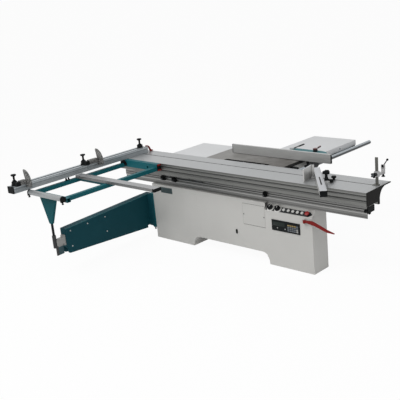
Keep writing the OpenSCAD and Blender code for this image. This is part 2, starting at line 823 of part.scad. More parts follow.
module main_motor() color(dark) difference() {
    union() {
        unit_rod(blade_x, [motor_e0, motor_e0 + motor_l], motor_d, motor_r);
        unit_block([blade_x + pulley_r + 2 * belt_t, guide_xs[1] + 2 * plate],
                   [motor_e0, motor_e0 + motor_l / 2],
                   [slider_d1 - 2 * plate, slider_d1]);
    }
    unit_rod(blade_x, [motor_e0 - cut, motor_e0 + 2 * plate], motor_d, shaft_r + fit);
}

// A belt pulley with its shaft
module pulley(d, e) {
    unit_rod(blade_x, [pulley_e0, pulley_e1], d, pulley_r);
    unit_rod(blade_x, e, d, shaft_r);
}

module motor_pulley() color(silver) pulley(motor_d, [pulley_e0, motor_e0 + 2 * plate - gap]);

module belt_2d(r) {
    for (d = [arbor_drop, motor_d])
        translate([blade_x, table_top - d]) circle(r = r);
    translate([blade_x - r, table_top - motor_d]) square([2 * r, belt_centres]);
}

module drive_belt() color(dark)
    sweep_y(blade_y + pulley_e0 + belt_t, blade_y + pulley_e1 - belt_t) difference() {
        belt_2d(pulley_r + gap + belt_t);
        belt_2d(pulley_r + gap);
    }

// A toothed disc in the blade's plane
tooth_share = 0.95;

module saw_disc(x, d, r, teeth) {
    translate([x, blade_y + blade_t / 2, table_top - d]) rotate([90, 0, 0]) linear_extrude(blade_t)
        polygon([for (i = [0 : teeth - 1]) for (k = [[0, 1], [0.3, tooth_share]])
            r * k[1] * [cos((i + k[0]) * 360 / teeth), sin((i + k[0]) * 360 / teeth)]]);
}

module main_blade() color(silver) {
    saw_disc(blade_x, arbor_drop, blade_r, blade_teeth);
    unit_rod(blade_x, [-plate / 2, plate / 2], arbor_drop, 1.6 * shaft_r);
    pulley(arbor_drop, [-plate / 2, pulley_e1]);
}

// The scoring unit stands on two pins in the cradle's crossbar
score_shaft_r = 0.4 * shaft_r;
score_housing_r = 1.5 * shaft_r;

module scoring_unit() color(iron) difference() {
    union() {
        unit_rod(score_x, [plate / 2, cross_e1], score_d, score_housing_r);
        unit_block([score_pin_xs[0] - plate / 2, score_pin_xs[1] + plate / 2], [cross_e0, cross_e1],
                   [score_d, cross_d0 - gap]);
        for (x = score_pin_xs)
            unit_post(x, guide_e, [cross_d0 - plate, cross_d1 + score_travel + plate / 5], score_pin_r);
    }
    unit_rod(score_x, [0, cross_e0], score_d, score_shaft_r + fit);
}

module scoring_blade() color(silver) {
    saw_disc(score_x, score_d, score_r, blade_teeth / 2);
    unit_rod(score_x, [-plate / 4, cross_e0 - plate], score_d, score_shaft_r);
}

// The sliding table: a hollow box with slots and a thin wing
leg_w = sheet_t * 4.2;
leg_share = 0.235;
front_wall = 1.6 * slot_d;
front_slot_shares = [0.26, 0.6];

// A slot with a wide chamber, open toward +Y in its own plane
module slot_2d() {
    translate([-slot_w / 2, -slot_d / 2]) square([slot_w, slot_d / 2 + cut]);
    translate([-slot_w * 0.8, -slot_d]) square([slot_w * 1.6, slot_d / 2 + weld]);
}

module table_end_2d() difference() {
    union() {
        translate([0, -box_h]) square([box_w, box_h]);
        translate([box_w - leg_w, -box_h * (1 + leg_share)]) square([leg_w, box_h]);
        translate([box_w - cut, -wing_t]) square([table_w - box_w + cut, wing_t]);
        translate([box_w - cut, -hollow_r - wing_t]) square([hollow_r + cut, hollow_r + wing_t]);
    }
    translate([box_w + hollow_r, -hollow_r - wing_t]) circle(r = hollow_r);
}

module table_2d() difference() {
    table_end_2d();
    translate([front_wall, wing_t - box_h])
        square([(box_w - front_wall - 3 * wing_t) / 2, box_h - 2 * wing_t]);
    translate([(box_w + front_wall - wing_t) / 2 + wing_t, wing_t - box_h])
        square([(box_w - front_wall - 3 * wing_t) / 2 - leg_w / 2, box_h - 2 * wing_t]);
    translate([table_front - fence_pivot, 0]) slot_2d();
    for (share = front_slot_shares)
        translate([0, -share * box_h]) rotate(90) slot_2d();
}

module table_profile() color(silver) {
    sweep_x(table_x0 + wing_t + weld, table_x1 - wing_t - weld) translate([table_y0, table_top]) table_2d();
    for (x = [table_x0, table_x1 - wing_t])
        sweep_x(x, x + wing_t) translate([table_y0, table_top]) table_end_2d();
}

// The outrigger: end beam, welded tube frame, support bar, leg and load roller
tube_z1 = table_top - support_t;
out_y0 = table_y0 - out_t;
hole_share = 0.722;

module outrigger_beam() color(teal) difference() {
    block([-out_far, out_y0, table_top - out_h], [out_l - out_far, table_y0, table_top]);
    rod_y(hole_share * out_l - out_far, out_y0 - cut, table_y0 + cut, table_top - 0.6 * out_h, out_t / 4);
}

// A square tube along one axis
tube_wall = tube_w / 13;

module tube_2d() difference() {
    square(tube_w, center = true);
    square(tube_w - 2 * tube_wall, center = true);
}

tube_z = tube_z1 - tube_w / 2;
outer_over = 1.5 * tube_w;
roller_x0 = -rear_tube_x + tube_w / 2;
roller_x1 = outer_over - front_tube_x - tube_w / 2;
roller_y = -out_y - 1.45 * tube_w;
roller_pin_r = load_r / 4;
cheek_t = tube_w / 5;

module outrigger_frame() color(teal) {
    for (x = [-rear_tube_x, -front_tube_x])
        sweep_y(tube_w / 2 + weld - out_y, out_y0 - weld) translate([x, tube_z]) tube_2d();
    sweep_x(-rear_tube_x - tube_w / 2, outer_over - front_tube_x) translate([-out_y, tube_z]) tube_2d();
    sweep_x(tube_w / 2 + weld - rear_tube_x, -front_tube_x - tube_w / 2 - weld)
        translate([-mid_y, tube_z]) tube_2d();
    for (x = [roller_x0 - gap - cheek_t, roller_x1 + gap]) difference() {
        block([x, roller_y - load_r, tube_z],
              [x + cheek_t, -out_y - tube_w / 2 - weld, table_top - load_r / 2]);
        rod_x(x - cut, x + cheek_t + cut, roller_y, table_top - load_r, roller_pin_r + fit);
    }
}

module load_roller() color(silver) {
    rod_x(roller_x0, roller_x1, roller_y, table_top - load_r, load_r);
    rod_x(roller_x0 - cheek_t, roller_x1 + cheek_t, roller_y, table_top - load_r, roller_pin_r);
}

support_share = 0.3;

module support_bar() color(silver) {
    x0 = tube_w / 4 - rear_tube_x;
    y0 = -mid_y - (0.5 + support_share) * support_w;
    block([x0, y0, tube_z1], [x0 + support_l, y0 + support_w, table_top]);
}

// Side of the leg in shares of its height
leg_side_shares = [[-0.42, 0], [0.48, 0], [0.48, -0.06], [0.07, -1], [-0.08, -1], [-0.42, -0.06]];

module leg_bracket() color(teal) {
    top = tube_z1 - tube_w;
    sweep_y(-out_y - tube_w / 3, tube_w / 3 - out_y)
        translate([-leg_x, top]) polygon(leg_side_shares * leg_h);
    rod_z(-leg_x, -out_y, rod_low, top - 0.8 * leg_h, rod_r);
}

// A turned knob with a stem, standing on z = 0
knob_neck_share = 0.42;
knob_stem_share = 0.25;
knob_rise = 2.7 * grip_r;

module turned_knob(stem) {
    translate([0, 0, gap]) cylinder(h = knob_rise, r = knob_neck_share * grip_r);
    translate([0, 0, knob_rise / 2]) cylinder(h = knob_rise / 2, r = grip_r);
    translate([0, 0, -stem]) cylinder(h = stem + knob_rise, r = knob_stem_share * grip_r);
}

slot_knob_share = 0.2192;

module slot_knob() color(dark) {
    x = mitre_x + slot_knob_share * mitre_l;
    rod_z(x, -fence_pivot, table_top + gap, table_top + 1.4 * grip_r, 0.7 * grip_r);
    rod_z(x, -fence_pivot, table_top - 0.8 * slot_d, table_top + grip_r, slot_w / 2 - gap);
}

// The hold-down clamp: post, sliding arm, cam lever and presser
post_y = post_in - table_front;
clamp_z0 = table_top + 0.29 * post_h;
clamp_h = 0.2 * post_h;
clamp_wall = 0.7 * post_t;
head_r = 0.65 * post_w;
head_y = post_y + clamp_reach;
presser_r = head_r / 2;
cam_z = clamp_z0 + 1.4 * clamp_h;
cam_r = 0.5 * post_w;
ear_t = clamp_wall;

module clamp_post() color([0.4, 0.41, 0.34]) {
    block([post_x - post_w / 2, post_y - post_t / 2, table_top],
          [post_x + post_w / 2, post_y + post_t / 2, table_top + post_h]);
    block([post_x - post_w, -fence_pivot - slot_w, table_top],
          [post_x + post_w, post_y + post_t / 2, table_top + sheet_t]);
}

module clamp_arm() color(silver) {
    difference() {
        union() {
            block([post_x - post_w / 2 - clamp_wall, post_y - post_t / 2 - clamp_wall, clamp_z0],
                  [post_x + post_w / 2 + clamp_wall, post_y + post_t / 2 + clamp_wall, clamp_z0 + clamp_h]);
            block([post_x - clamp_wall, post_y + post_t / 2 + clamp_wall / 2, clamp_z0],
                  [post_x + clamp_wall, head_y, clamp_z0 + clamp_h / 2]);
            rod_z(post_x, head_y, clamp_z0, clamp_z0 + clamp_h, head_r);
            rod_y(post_x, post_y - 5 * post_t, post_y - post_t, clamp_z0 + clamp_h / 2, cam_r);
        }
        block([post_x - post_w / 2 - gap, post_y - post_t / 2 - gap, clamp_z0 - cut],
              [post_x + post_w / 2 + gap, post_y + post_t / 2 + gap, clamp_z0 + clamp_h + cut]);
        rod_z(post_x, head_y, clamp_z0 - cut, clamp_z0 + clamp_h + cut, presser_r + fit);
    }
    for (side = [-1, 1])
        translate([post_x + side * (head_r - ear_t / 2), head_y, 0])
            block([-ear_t / 2, -cam_r / 2, clamp_z0 + clamp_h - ear_t],
                  [ear_t / 2, cam_r / 2, cam_z + cam_r]);
    rod_x(post_x - head_r + ear_t / 2, post_x + head_r - ear_t / 2, head_y, cam_z, cam_r / 3);
}

ball_r = 0.4 * post_w;
cam_angle = 62;

module clamp_lever() color(dark) difference() {
    union() {
        cam_half = head_r - ear_t - gap;
        rod_x(post_x - cam_half, post_x + cam_half, head_y, cam_z, cam_r);
        translate([post_x, head_y, cam_z]) rotate([-cam_angle, 0, 0]) {
            cylinder(h = 0.8 * clamp_reach, r = cam_r / 3);
            translate([0, 0, 0.8 * clamp_reach]) sphere(r = ball_r);
        }
    }
    rod_x(post_x - head_r, post_x + head_r, head_y, cam_z, cam_r / 3 + fit);
}

module clamp_presser() color(dark) {
    foot = 1.5 * presser_r;
    rod_z(post_x, head_y, clamp_z0 - 1.5 * foot, clamp_z0 + clamp_h, presser_r);
    translate([post_x, head_y, clamp_z0 - 2 * foot]) cylinder(h = foot, r1 = head_r, r2 = presser_r);
}

// The crosscut fence: a grooved profile that swivels on the sliding table
fence_z0 = table_top + 2 * gap;
fence_z1 = fence_z0 + fence_h;
groove_mouth_share = 0.3;
groove_chamber_share = 0.5;
groove_depth_shares = [0.16, 0.36];
tip_share = 0.6;
boss_h = 1.3 * grip_r;

module fence_2d() difference() {
    translate([-fence_w / 2, 0]) square([fence_w, fence_h]);
    translate([-groove_mouth_share * fence_w / 2, fence_h * (1 - groove_depth_shares[0])])
        square([groove_mouth_share * fence_w, fence_h]);
    translate([-groove_chamber_share * fence_w / 2, fence_h * (1 - groove_depth_shares[1])])
        square([groove_chamber_share * fence_w,
                fence_h * (groove_depth_shares[1] - groove_depth_shares[0]) + weld]);
    translate([-fence_w / 2 + sheet_t, sheet_t])
        square([fence_w - 2 * sheet_t, fence_h * (1 - groove_depth_shares[1]) - 2 * sheet_t]);
}

module fence_profile() color(silver) difference() {
    union() {
        sweep_y(-fence_out, -fence_in) translate([-fence_x, fence_z0]) fence_2d();
        translate([-fence_x, -fence_in - fence_w, fence_z0]) linear_extrude(tip_share * fence_h) {
            translate([-fence_w / 2, 0]) square([fence_w, 1.5 * fence_w]);
            translate([0, 1.5 * fence_w]) circle(r = fence_w / 2);
        }
        rod_z(-fence_x, -fence_pivot, fence_z0, fence_z1 + boss_h, 1.2 * grip_r);
        rod_z(-fence_x, -fence_pivot, table_top - 0.8 * slot_d, fence_z0 + cut, slot_w / 2 - gap);
    }
    rod_z(-fence_x, -fence_pivot, fence_z1, fence_z1 + boss_h + cut, knob_stem_share * grip_r + fit);
}

module fence_knob() color(dark)
    translate([-fence_x, -fence_pivot, fence_z1 + boss_h]) turned_knob(boss_h - gap);

// A stop: slider on the fence, finger on the slider's pin, knob on top
slider_h = 0.3 * finger_rise;
slider_half = 0.16 * finger_rise;
stop_pin_x = 0.6 * fence_w - fence_x;
stop_pin_z = fence_z1 + 0.6 * slider_h;
stop_pin_r = slider_h / 5;
finger_t = 0.09 * finger_rise;
// Side of a finger in shares of its rise, from its pin
finger_side_shares = [[-0.05, -0.58], [0.23, -0.58], [0.49, -0.11], [0.3, 0.22], [-0.06, 0.75],
                  [-0.15, 0.82], [-0.25, 0.79], [-0.3, 0.45], [-0.26, 0.15], [-0.05, -0.15]];

module stop_slider(y, off) color(dark) {
    mid = -y - off;
    half = groove_mouth_share * fence_w / 2 - gap;
    difference() {
        union() {
            block([-fence_x - 0.3 * fence_w, mid - slider_half, fence_z1 + gap],
                  [stop_pin_x + 2 * stop_pin_r, mid + slider_half, fence_z1 + slider_h / 3]);
            block([stop_pin_x - 2 * stop_pin_r, mid - slider_half, fence_z1 + gap],
                  [stop_pin_x + 2 * stop_pin_r, mid + slider_half, fence_z1 + slider_h]);
            rod_z(-fence_x, mid, fence_z1 + gap, fence_z1 + slider_h, 0.5 * grip_r);
            block([-fence_x - half, mid - slider_half, fence_z1 - 0.1 * fence_h],
                  [-fence_x + half, mid + slider_half, fence_z1 + slider_h / 2]);
        }
        rod_z(-fence_x, mid, fence_z1 + slider_h / 2, fence_z1 + slider_h + cut,
              knob_stem_share * grip_r + fit);
    }
    rod_y(stop_pin_x, mid, finger_t - y, stop_pin_z, stop_pin_r);
}

module stop_finger(y) color(silver) difference() {
    sweep_y(-y - finger_t / 2, finger_t / 2 - y)
        translate([stop_pin_x, stop_pin_z]) polygon(finger_side_shares * finger_rise);
    rod_y(stop_pin_x, -y - finger_t, finger_t - y, stop_pin_z, stop_pin_r + fit);
}

module stop_knob(y, off) color(dark) {
    translate([-fence_x, -y - off, fence_z1 + slider_h]) turned_knob(slider_h / 2 - gap);
}

// The mitre fence: bar, face plate and lug on a swivel in the table's top slot
mitre_z0 = table_top + 2 * gap;
face_x = mitre_w / 3;
lug_x_share = 0.2151;
face_t = 0.2 * mitre_w;
face_angle = 28.5;
handle_r = 0.35 * grip_r;

module in_mitre() translate([mitre_x, -fence_pivot, mitre_z0]) rotate(-mitre_angle) children();

module mitre_bar() color(silver) in_mitre() difference() {
    union() {
        block([-mitre_back, -mitre_w / 2, 0], [mitre_l - mitre_back, mitre_w / 2, mitre_h]);
        block([lug_x_share * mitre_l - mitre_w / 2, 0, 0],
              [lug_x_share * mitre_l + mitre_w / 2, 1.4 * mitre_w, mitre_h / 3]);
        block([-face_x, -mitre_w, 0], [face_x, 0, face_t]);
        translate([-face_x, -0.8 * mitre_w, 0]) rotate(-face_angle)
            block([0, -face_t, 0], [face_l, 0, face_h]);
        translate([0, 0, -mitre_z0 + table_top - 0.8 * slot_d]) cylinder(h = slot_d, r = slot_w / 2 - gap);
    }
    translate([lug_x_share * mitre_l, mitre_w, -cut]) cylinder(h = mitre_h, r = handle_r + fit);
}

module mitre_handle() color(dark) in_mitre() translate([lug_x_share * mitre_l, mitre_w, 0]) {
    translate([0, 0, gap]) cylinder(h = 2 * mitre_h, r = handle_r);
    translate([0, 0, mitre_h / 3 + gap]) cylinder(h = mitre_h, r = 0.6 * grip_r);
    translate([0, 0, 2 * mitre_h]) rotate([90, 0, 0])
        cylinder(h = 1.5 * mitre_w, r = 0.4 * grip_r, center = true);
}

// The rip fence: carrier on the guide bar, bar on the carrier, two clamping levers
rip_z0 = table_top + rip_lift;
rip_back = rip_y + rip_t;
carrier_share = 0.5407;
carrier_x0 = bar_x - carrier_share * carrier_l;
carrier_x1 = carrier_x0 + carrier_l;
carrier_d = 6.9 * rip_t;
carrier_h = 0.73 * rip_h;
carrier_z1 = rip_z0 + carrier_h;
sleeve_y1 = rip_back + carrier_d;
sleeve_y0 = min(sleeve_y1 - sleeve_l, rip_back);
sleeve_t = 0.7 * bar_r;
hub_r = 1.1 * bar_r;
hub_h = bar_r;
lever_1_x = carrier_x0 + 0.05 * carrier_l;
lever_1_y = rip_back + 0.55 * carrier_d;
lever_2_x = carrier_x0 + 0.62 * carrier_l;
lever_2_y = rip_back + 0.69 * carrier_d;
lever_stem_r = hub_r / 3;

module rip_carrier() color(teal) difference() {
    union() {
        block([carrier_x0, rip_back + gap, rip_z0],
              [carrier_x1 - carrier_d, rip_back + carrier_d, carrier_z1]);
        intersection() {
            rod_z(carrier_x1 - carrier_d, rip_back, rip_z0, carrier_z1, carrier_d);
            block([carrier_x1 - carrier_d - cut, rip_back + gap, rip_z0 - cut],
                  [carrier_x1 + cut, rip_back + carrier_d + cut, carrier_z1 + cut]);
        }
        rod_y(bar_x, sleeve_y0, sleeve_y1, bar_z, bar_r + sleeve_t);
        block([bar_x, rip_back + gap, bar_z],
              [bar_x + bar_r + sleeve_t, rip_back + carrier_d, rip_z0 + cut]);
    }
    rod_y(bar_x, sleeve_y0 - cut, sleeve_y1 + cut, bar_z, bar_r + fit);
    block([bar_x - 2 * bar_r, sleeve_y0 - cut, bar_z - 2 * bar_r], [bar_x, sleeve_y1 + cut, rip_z0 - weld]);
    for (p = [[lever_1_x, lever_1_y], [lever_2_x, lever_2_y]])
        rod_z(p[0], p[1], carrier_z1 - hub_h, carrier_z1 + cut, lever_stem_r + fit);
}

module rip_fence_bar() color(silver) {
    wall = rip_t / 8;
    cell = (rip_h - 3 * wall) / 2;
    sweep_x(-rip_far, rip_l - rip_far) translate([rip_y, rip_z0]) difference() {
        square([rip_t, rip_h]);
        for (z = [wall, 2 * wall + cell])
            translate([wall, z]) square([rip_t - 2 * wall, cell]);
    }
}

module clamp_handle(x, y, reach, lean, rise) translate([x, y, carrier_z1]) {
    translate([0, 0, gap]) cylinder(h = rise, r = hub_r);
    translate([0, 0, gap - hub_h]) cylinder(h = 2 * hub_h, r = lever_stem_r);
    translate([0, 0, rise - hub_h / 2]) rotate(lean) rotate([-90, 0, 0]) {
        cylinder(h = reach, r = hub_h / 4);
        translate([0, 0, 0.6 * reach]) cylinder(h = 0.4 * reach, r = hub_h / 2.5);
    }
}

module rip_lever() color(dark) clamp_handle(lever_1_x, lever_1_y, 0.44 * carrier_l, 0, hub_h);

module bar_lever() color(dark) clamp_handle(lever_2_x, lever_2_y, 0.27 * carrier_l, 12, 1.6 * hub_h);

// The swing arm in its own frame: hinge on the Z axis, arm running toward -Y
arm_mid = -arm_off - arm_t / 2;
arm_tail = 1.5 * lug_r;
arm_corner = arm_t;
arm_drop = pin_r;
slide_w = 0.68 * arm_t;
slide_end = -arm_l - lug_r;
rest_x = (hinge_x - leg_x) * cos(arm_angle) - (out_y - hinge_y) * sin(arm_angle);
rest_y = -(hinge_x - leg_x) * sin(arm_angle) - (out_y - hinge_y) * cos(arm_angle);
rest_r = 1.6 * rod_r;

module in_arm() translate([-hinge_x, -hinge_y, 0]) rotate(arm_angle) children();

module swing_arm() color(teal) in_arm() difference() {
    union() {
        end_z = arm_low + arm_rise;
        sweep_x(-arm_off - arm_t, -arm_off) {
            polygon([[arm_tail, arm_low], [arm_tail, arm_top], [-arm_l, arm_top - arm_drop],
                     [-arm_l, end_z + arm_corner], [arm_corner - arm_l, end_z]]);
            translate([arm_corner - arm_l, end_z + arm_corner]) circle(r = arm_corner);
        }
        rod_z(0, 0, arm_low, arm_top, lug_r);
        block([-arm_off - cut, -lug_r, arm_low], [0, lug_r, arm_top]);
    }
    rod_z(0, 0, arm_low - cut, arm_top + cut, pin_r + fit);
    block([arm_mid - slide_w / 2 - gap, -arm_l - cut, slide_z - gap],
          [arm_mid + slide_w / 2 + gap, slide_end + slide_l + gap, slide_z + slide_h + gap]);
}

module arm_extension() color(silver) in_arm() {
    block([arm_mid - slide_w / 2, slide_end, slide_z],
          [arm_mid + slide_w / 2, slide_end + slide_l, slide_z + slide_h]);
    block([arm_mid - slide_w / 2, rest_y, slide_z + slide_h / 5],
          [arm_mid + slide_w / 2, slide_end + cut, slide_z + 0.8 * slide_h]);
    rod_z(rest_x, rest_y, slide_z, rod_low - 2 * gap, rest_r);
    block([arm_mid - slide_w / 8, rest_y, slide_z - 0.8 * slide_h],
          [arm_mid + slide_w / 8, slide_end, slide_z + slide_h / 2]);
}

base_shell();
saw_cabinet();
control_console();
display_unit();
access_panel();
lower_beam();
main_table();
table_insert();
rear_extension();
right_extension();
guide_bar();
bar_brackets();
arm_bracket();
trunnions();
selector_knob(0);  // selector_knob_1
selector_knob(1);  // selector_knob_2
button(0);  // button_1
button(1);  // button_2
button(2);  // button_3
button(3);  // button_4
button(4);  // button_5
stop_button();
knee_lever();
door_latch();
roller_carriage();
table_profile();
outrigger_beam();
outrigger_frame();
support_bar();
leg_bracket();
load_roller();
slot_knob();
clamp_post();
clamp_arm();
clamp_lever();
clamp_presser();
fence_profile();
stop_slider(stop_1_y, stop_1_off);  // stop_slider_1
stop_slider(stop_2_y, stop_2_off);  // stop_slider_2
stop_finger(stop_1_y);  // stop_finger_1
stop_finger(stop_2_y);  // stop_finger_2
stop_knob(stop_1_y, stop_1_off);  // stop_knob_1
stop_knob(stop_2_y, stop_2_off);  // stop_knob_2
fence_knob();
mitre_bar();
mitre_handle();
rip_carrier();
rip_fence_bar();
rip_lever();
bar_lever();
swing_arm();
arm_extension();
tilt_cradle();
saw_carriage();
main_motor();
drive_belt();
motor_pulley();
main_blade();
scoring_unit();
scoring_blade();
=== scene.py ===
import json
import math

import bpy
from mathutils import Matrix, Vector

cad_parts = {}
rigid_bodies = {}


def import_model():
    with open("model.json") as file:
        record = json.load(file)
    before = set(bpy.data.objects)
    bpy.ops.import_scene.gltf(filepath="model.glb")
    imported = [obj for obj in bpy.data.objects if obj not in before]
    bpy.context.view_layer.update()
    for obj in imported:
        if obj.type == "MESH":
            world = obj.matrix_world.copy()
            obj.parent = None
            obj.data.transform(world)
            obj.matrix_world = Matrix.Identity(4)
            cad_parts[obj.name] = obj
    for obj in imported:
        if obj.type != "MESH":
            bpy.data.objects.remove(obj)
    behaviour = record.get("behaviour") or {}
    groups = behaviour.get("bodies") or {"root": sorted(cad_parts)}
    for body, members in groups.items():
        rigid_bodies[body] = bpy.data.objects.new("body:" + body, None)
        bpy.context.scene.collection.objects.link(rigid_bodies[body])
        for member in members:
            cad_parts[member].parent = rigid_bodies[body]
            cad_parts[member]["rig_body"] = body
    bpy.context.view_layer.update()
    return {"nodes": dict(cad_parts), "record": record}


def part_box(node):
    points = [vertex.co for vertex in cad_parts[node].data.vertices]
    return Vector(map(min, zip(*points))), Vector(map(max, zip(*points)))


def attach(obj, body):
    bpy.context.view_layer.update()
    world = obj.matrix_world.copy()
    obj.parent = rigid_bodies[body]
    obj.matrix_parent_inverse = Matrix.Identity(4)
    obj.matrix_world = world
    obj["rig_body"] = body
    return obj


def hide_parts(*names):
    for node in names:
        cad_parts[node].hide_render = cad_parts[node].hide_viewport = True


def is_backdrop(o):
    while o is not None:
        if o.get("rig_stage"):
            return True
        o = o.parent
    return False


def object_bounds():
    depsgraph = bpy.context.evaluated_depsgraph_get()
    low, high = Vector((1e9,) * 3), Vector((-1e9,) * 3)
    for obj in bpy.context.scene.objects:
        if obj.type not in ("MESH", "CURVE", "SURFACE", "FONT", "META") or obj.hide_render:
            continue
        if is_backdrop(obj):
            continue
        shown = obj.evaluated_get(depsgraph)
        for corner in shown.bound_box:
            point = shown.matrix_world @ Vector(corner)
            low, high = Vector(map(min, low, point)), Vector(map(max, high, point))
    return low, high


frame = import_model()
nodes = frame["nodes"]
print("frame loaded")


class Field:
    # One node output of a material, with arithmetic that adds Math nodes
    def __init__(self, socket):
        self.socket = socket

    def add(self, kind, inputs, output=0, **settings):
        tree = self.socket.id_data
        node = tree.nodes.new(kind)
        for name, value in settings.items():
            setattr(node, name, value)
        for name, value in inputs.items():
            if isinstance(value, Field):
                tree.links.new(value.socket, node.inputs[name])
            else:
                node.inputs[name].default_value = value
        return Field(node.outputs[output])

    def maths(self, operation, other=0.0):
        return self.add("ShaderNodeMath", {0: self, 1: other}, operation=operation)

    def __add__(self, other):
        return self.maths("ADD", other)

    def __sub__(self, other):
        return self.maths("SUBTRACT", other)

    def __rsub__(self, other):
        return self * -1.0 + other

    def __mul__(self, other):
        return self.maths("MULTIPLY", other)

    def scaled(self, share):
        return self.add("ShaderNodeVectorMath", {0: self, "Scale": share}, operation="SCALE")

    def stretched(self, scale):
        return self.add("ShaderNodeMapping", {"Vector": self, "Scale": scale})

    def noise(self, scale, detail=3.0):
        return self.add("ShaderNodeTexNoise", {"Vector": self, "Scale": scale, "Detail": detail})

    def axis(self, index):
        return self.add("ShaderNodeSeparateXYZ", {"Vector": self}, output=index)

    def ramp(self, low, high, start=0.0, end=1.0):
        return self.add(
            "ShaderNodeMapRange", {"Value": self, "From Min": low, "From Max": high, "To Min": start, "To Max": end})

    def blend(self, first, second):
        return self.add("ShaderNodeMix", {0: self, 6: first, 7: second}, output=2, data_type="RGBA")


def newMaterial(name):
    material = bpy.data.materials.new(name)
    material.use_nodes = True
    tree = material.node_tree
    shader = tree.nodes["Principled BSDF"]
    place = Field(tree.nodes.new("ShaderNodeTexCoord").outputs["Object"])
    return material, tree, shader, place


def join(tree, field, target):
    tree.links.new(field.socket, target)


def coated(name, light, dark, roughness, metallic=0.0, grain=60.0, stretch=(1, 1, 1), bump=0.0, coat=0.0, shine=0.5):
    # A finish whose tone and gloss wander a little with a noise that can be stretched into brush lines
    material, tree, shader, place = newMaterial(name)
    cloud = place.noise(3.0).ramp(0.35, 0.65)
    fine = place.stretched(stretch).noise(grain, 5.0)
    tone = fine.ramp(0.3, 0.7) * 0.6 + cloud * 0.4
    join(tree, tone.blend((*dark, 1), (*light, 1)), shader.inputs["Base Color"])
    join(tree, fine.ramp(0.3, 0.7, roughness - 0.06, roughness + 0.06), shader.inputs["Roughness"])
    shader.inputs["Metallic"].default_value = metallic
    shader.inputs["Coat Weight"].default_value = coat
    shader.inputs["Specular IOR Level"].default_value = shine
    if bump:
        relief = fine.add("ShaderNodeBump", {"Height": fine, "Strength": bump, "Distance": 0.0004})
        join(tree, relief, shader.inputs["Normal"])
    return material


finishes = {
    "grey_paint": coated("greyPaint", (0.56, 0.555, 0.535), (0.52, 0.515, 0.495), 0.42, grain=900, bump=0.12),
    "teal_paint": coated(
        "tealPaint", (0.008, 0.118, 0.142), (0.006, 0.095, 0.115), 0.45, grain=500, bump=0.08, shine=0.12),
    "dark_teal_paint": coated(
        "darkTealPaint", (0.0075, 0.062, 0.080), (0.006, 0.052, 0.068), 0.55, grain=500, bump=0.08, shine=0.08),
    "aluminium": coated("aluminiumAlong", (0.56, 0.57, 0.58), (0.46, 0.47, 0.48), 0.42, 0.7, 8, (2, 160, 160), 0.1),
    "cast_iron": coated("castIron", (0.34, 0.335, 0.325), (0.17, 0.162, 0.152), 0.5, 0.3, 24, bump=0.1),
    "pale_sheet": coated("paleSheet", (0.66, 0.67, 0.68), (0.61, 0.62, 0.63), 0.4, grain=400, bump=0.04),
    "steel": coated("turnedSteel", (0.55, 0.56, 0.57), (0.42, 0.43, 0.44), 0.34, 0.85, 30, (4, 30, 30), 0.05),
    "blade_steel": coated("bladeSteel", (0.52, 0.53, 0.54), (0.40, 0.41, 0.42), 0.3, 0.9, 220, bump=0.04),
    "black_plastic": coated(
        "blackPlastic", (0.008, 0.009, 0.0095), (0.005, 0.006, 0.0065), 0.55, grain=900, bump=0.1, shine=0.08),
    "white_plastic": coated("whitePlastic", (0.78, 0.78, 0.76), (0.72, 0.72, 0.70), 0.25, grain=200, coat=0.3),
    "red_plastic": coated("redPlastic", (0.40, 0.030, 0.030), (0.33, 0.024, 0.024), 0.35, grain=200, shine=0.4),
    "red_paint": coated(
        "redPaint", (0.23, 0.012, 0.010), (0.17, 0.009, 0.008), 0.4, grain=400, bump=0.05, shine=0.15),
    "display_plastic": coated(
        "displayPlastic", (0.008, 0.010, 0.010), (0.006, 0.008, 0.008), 0.5, grain=600, bump=0.05, shine=0.1),
    "cast_grey": coated("castGrey", (0.26, 0.26, 0.25), (0.10, 0.10, 0.10), 0.5, 0.3, 340, bump=0.25),
    "olive_steel": coated("oliveSteel", (0.15, 0.155, 0.12), (0.11, 0.115, 0.09), 0.4, 0.6, 40, (30, 30, 3)),
    "motor_paint": coated("motorPaint", (0.045, 0.048, 0.052), (0.035, 0.038, 0.042), 0.45, grain=500, bump=0.1),
    "belt_rubber": coated("beltRubber", (0.016, 0.016, 0.016), (0.012, 0.012, 0.012), 0.7, grain=700, bump=0.2),
}
slotOf = {piece["node"]: piece["material_slot"] for piece in frame["record"]["subparts"]}


def paint(piece, material):
    piece.data.materials.clear()
    piece.data.materials.append(material)


for name, slot in slotOf.items():
    paint(nodes[name], finishes[slot])
print("materials made")


def clearSelection():
    if bpy.context.object and bpy.context.object.mode != "OBJECT":
        bpy.ops.object.mode_set(mode="OBJECT")
    bpy.ops.object.select_all(action="DESELECT")


def editing(piece, kind="FACE"):
    clearSelection()
    bpy.context.view_layer.objects.active = piece
    piece.select_set(True)
    bpy.ops.object.mode_set(mode="EDIT")
    bpy.ops.mesh.select_mode(type=kind)
    bpy.ops.mesh.select_all(action="DESELECT")


def pick(piece, test, parts="polygons"):
    # Selects the faces or edges whose middle passes the test
    bpy.ops.object.mode_set(mode="OBJECT")
    mesh = piece.data
    for part in getattr(mesh, parts):
        if parts == "polygons":
            part.select = test(part.center, part.normal)
        else:
            ends = [mesh.vertices[i].co for i in part.vertices]
            part.select = test((ends[0] + ends[1]) / 2, (ends[1] - ends[0]).normalized())
    bpy.ops.object.mode_set(mode="EDIT")


def settle(piece, smooth=35):
    # Puts the place into the mesh and smooths the shading up to an angle
    clearSelection()
    bpy.context.view_layer.objects.active = piece
    piece.select_set(True)
    bpy.ops.object.transform_apply(location=True, rotation=True, scale=True)
    bpy.ops.object.shade_smooth_by_angle(angle=math.radians(smooth))
    piece.select_set(False)


def dress(piece, name, body, material):
    piece.name = name
    paint(piece, material)
    settle(piece)
    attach(piece, body)
    return piece


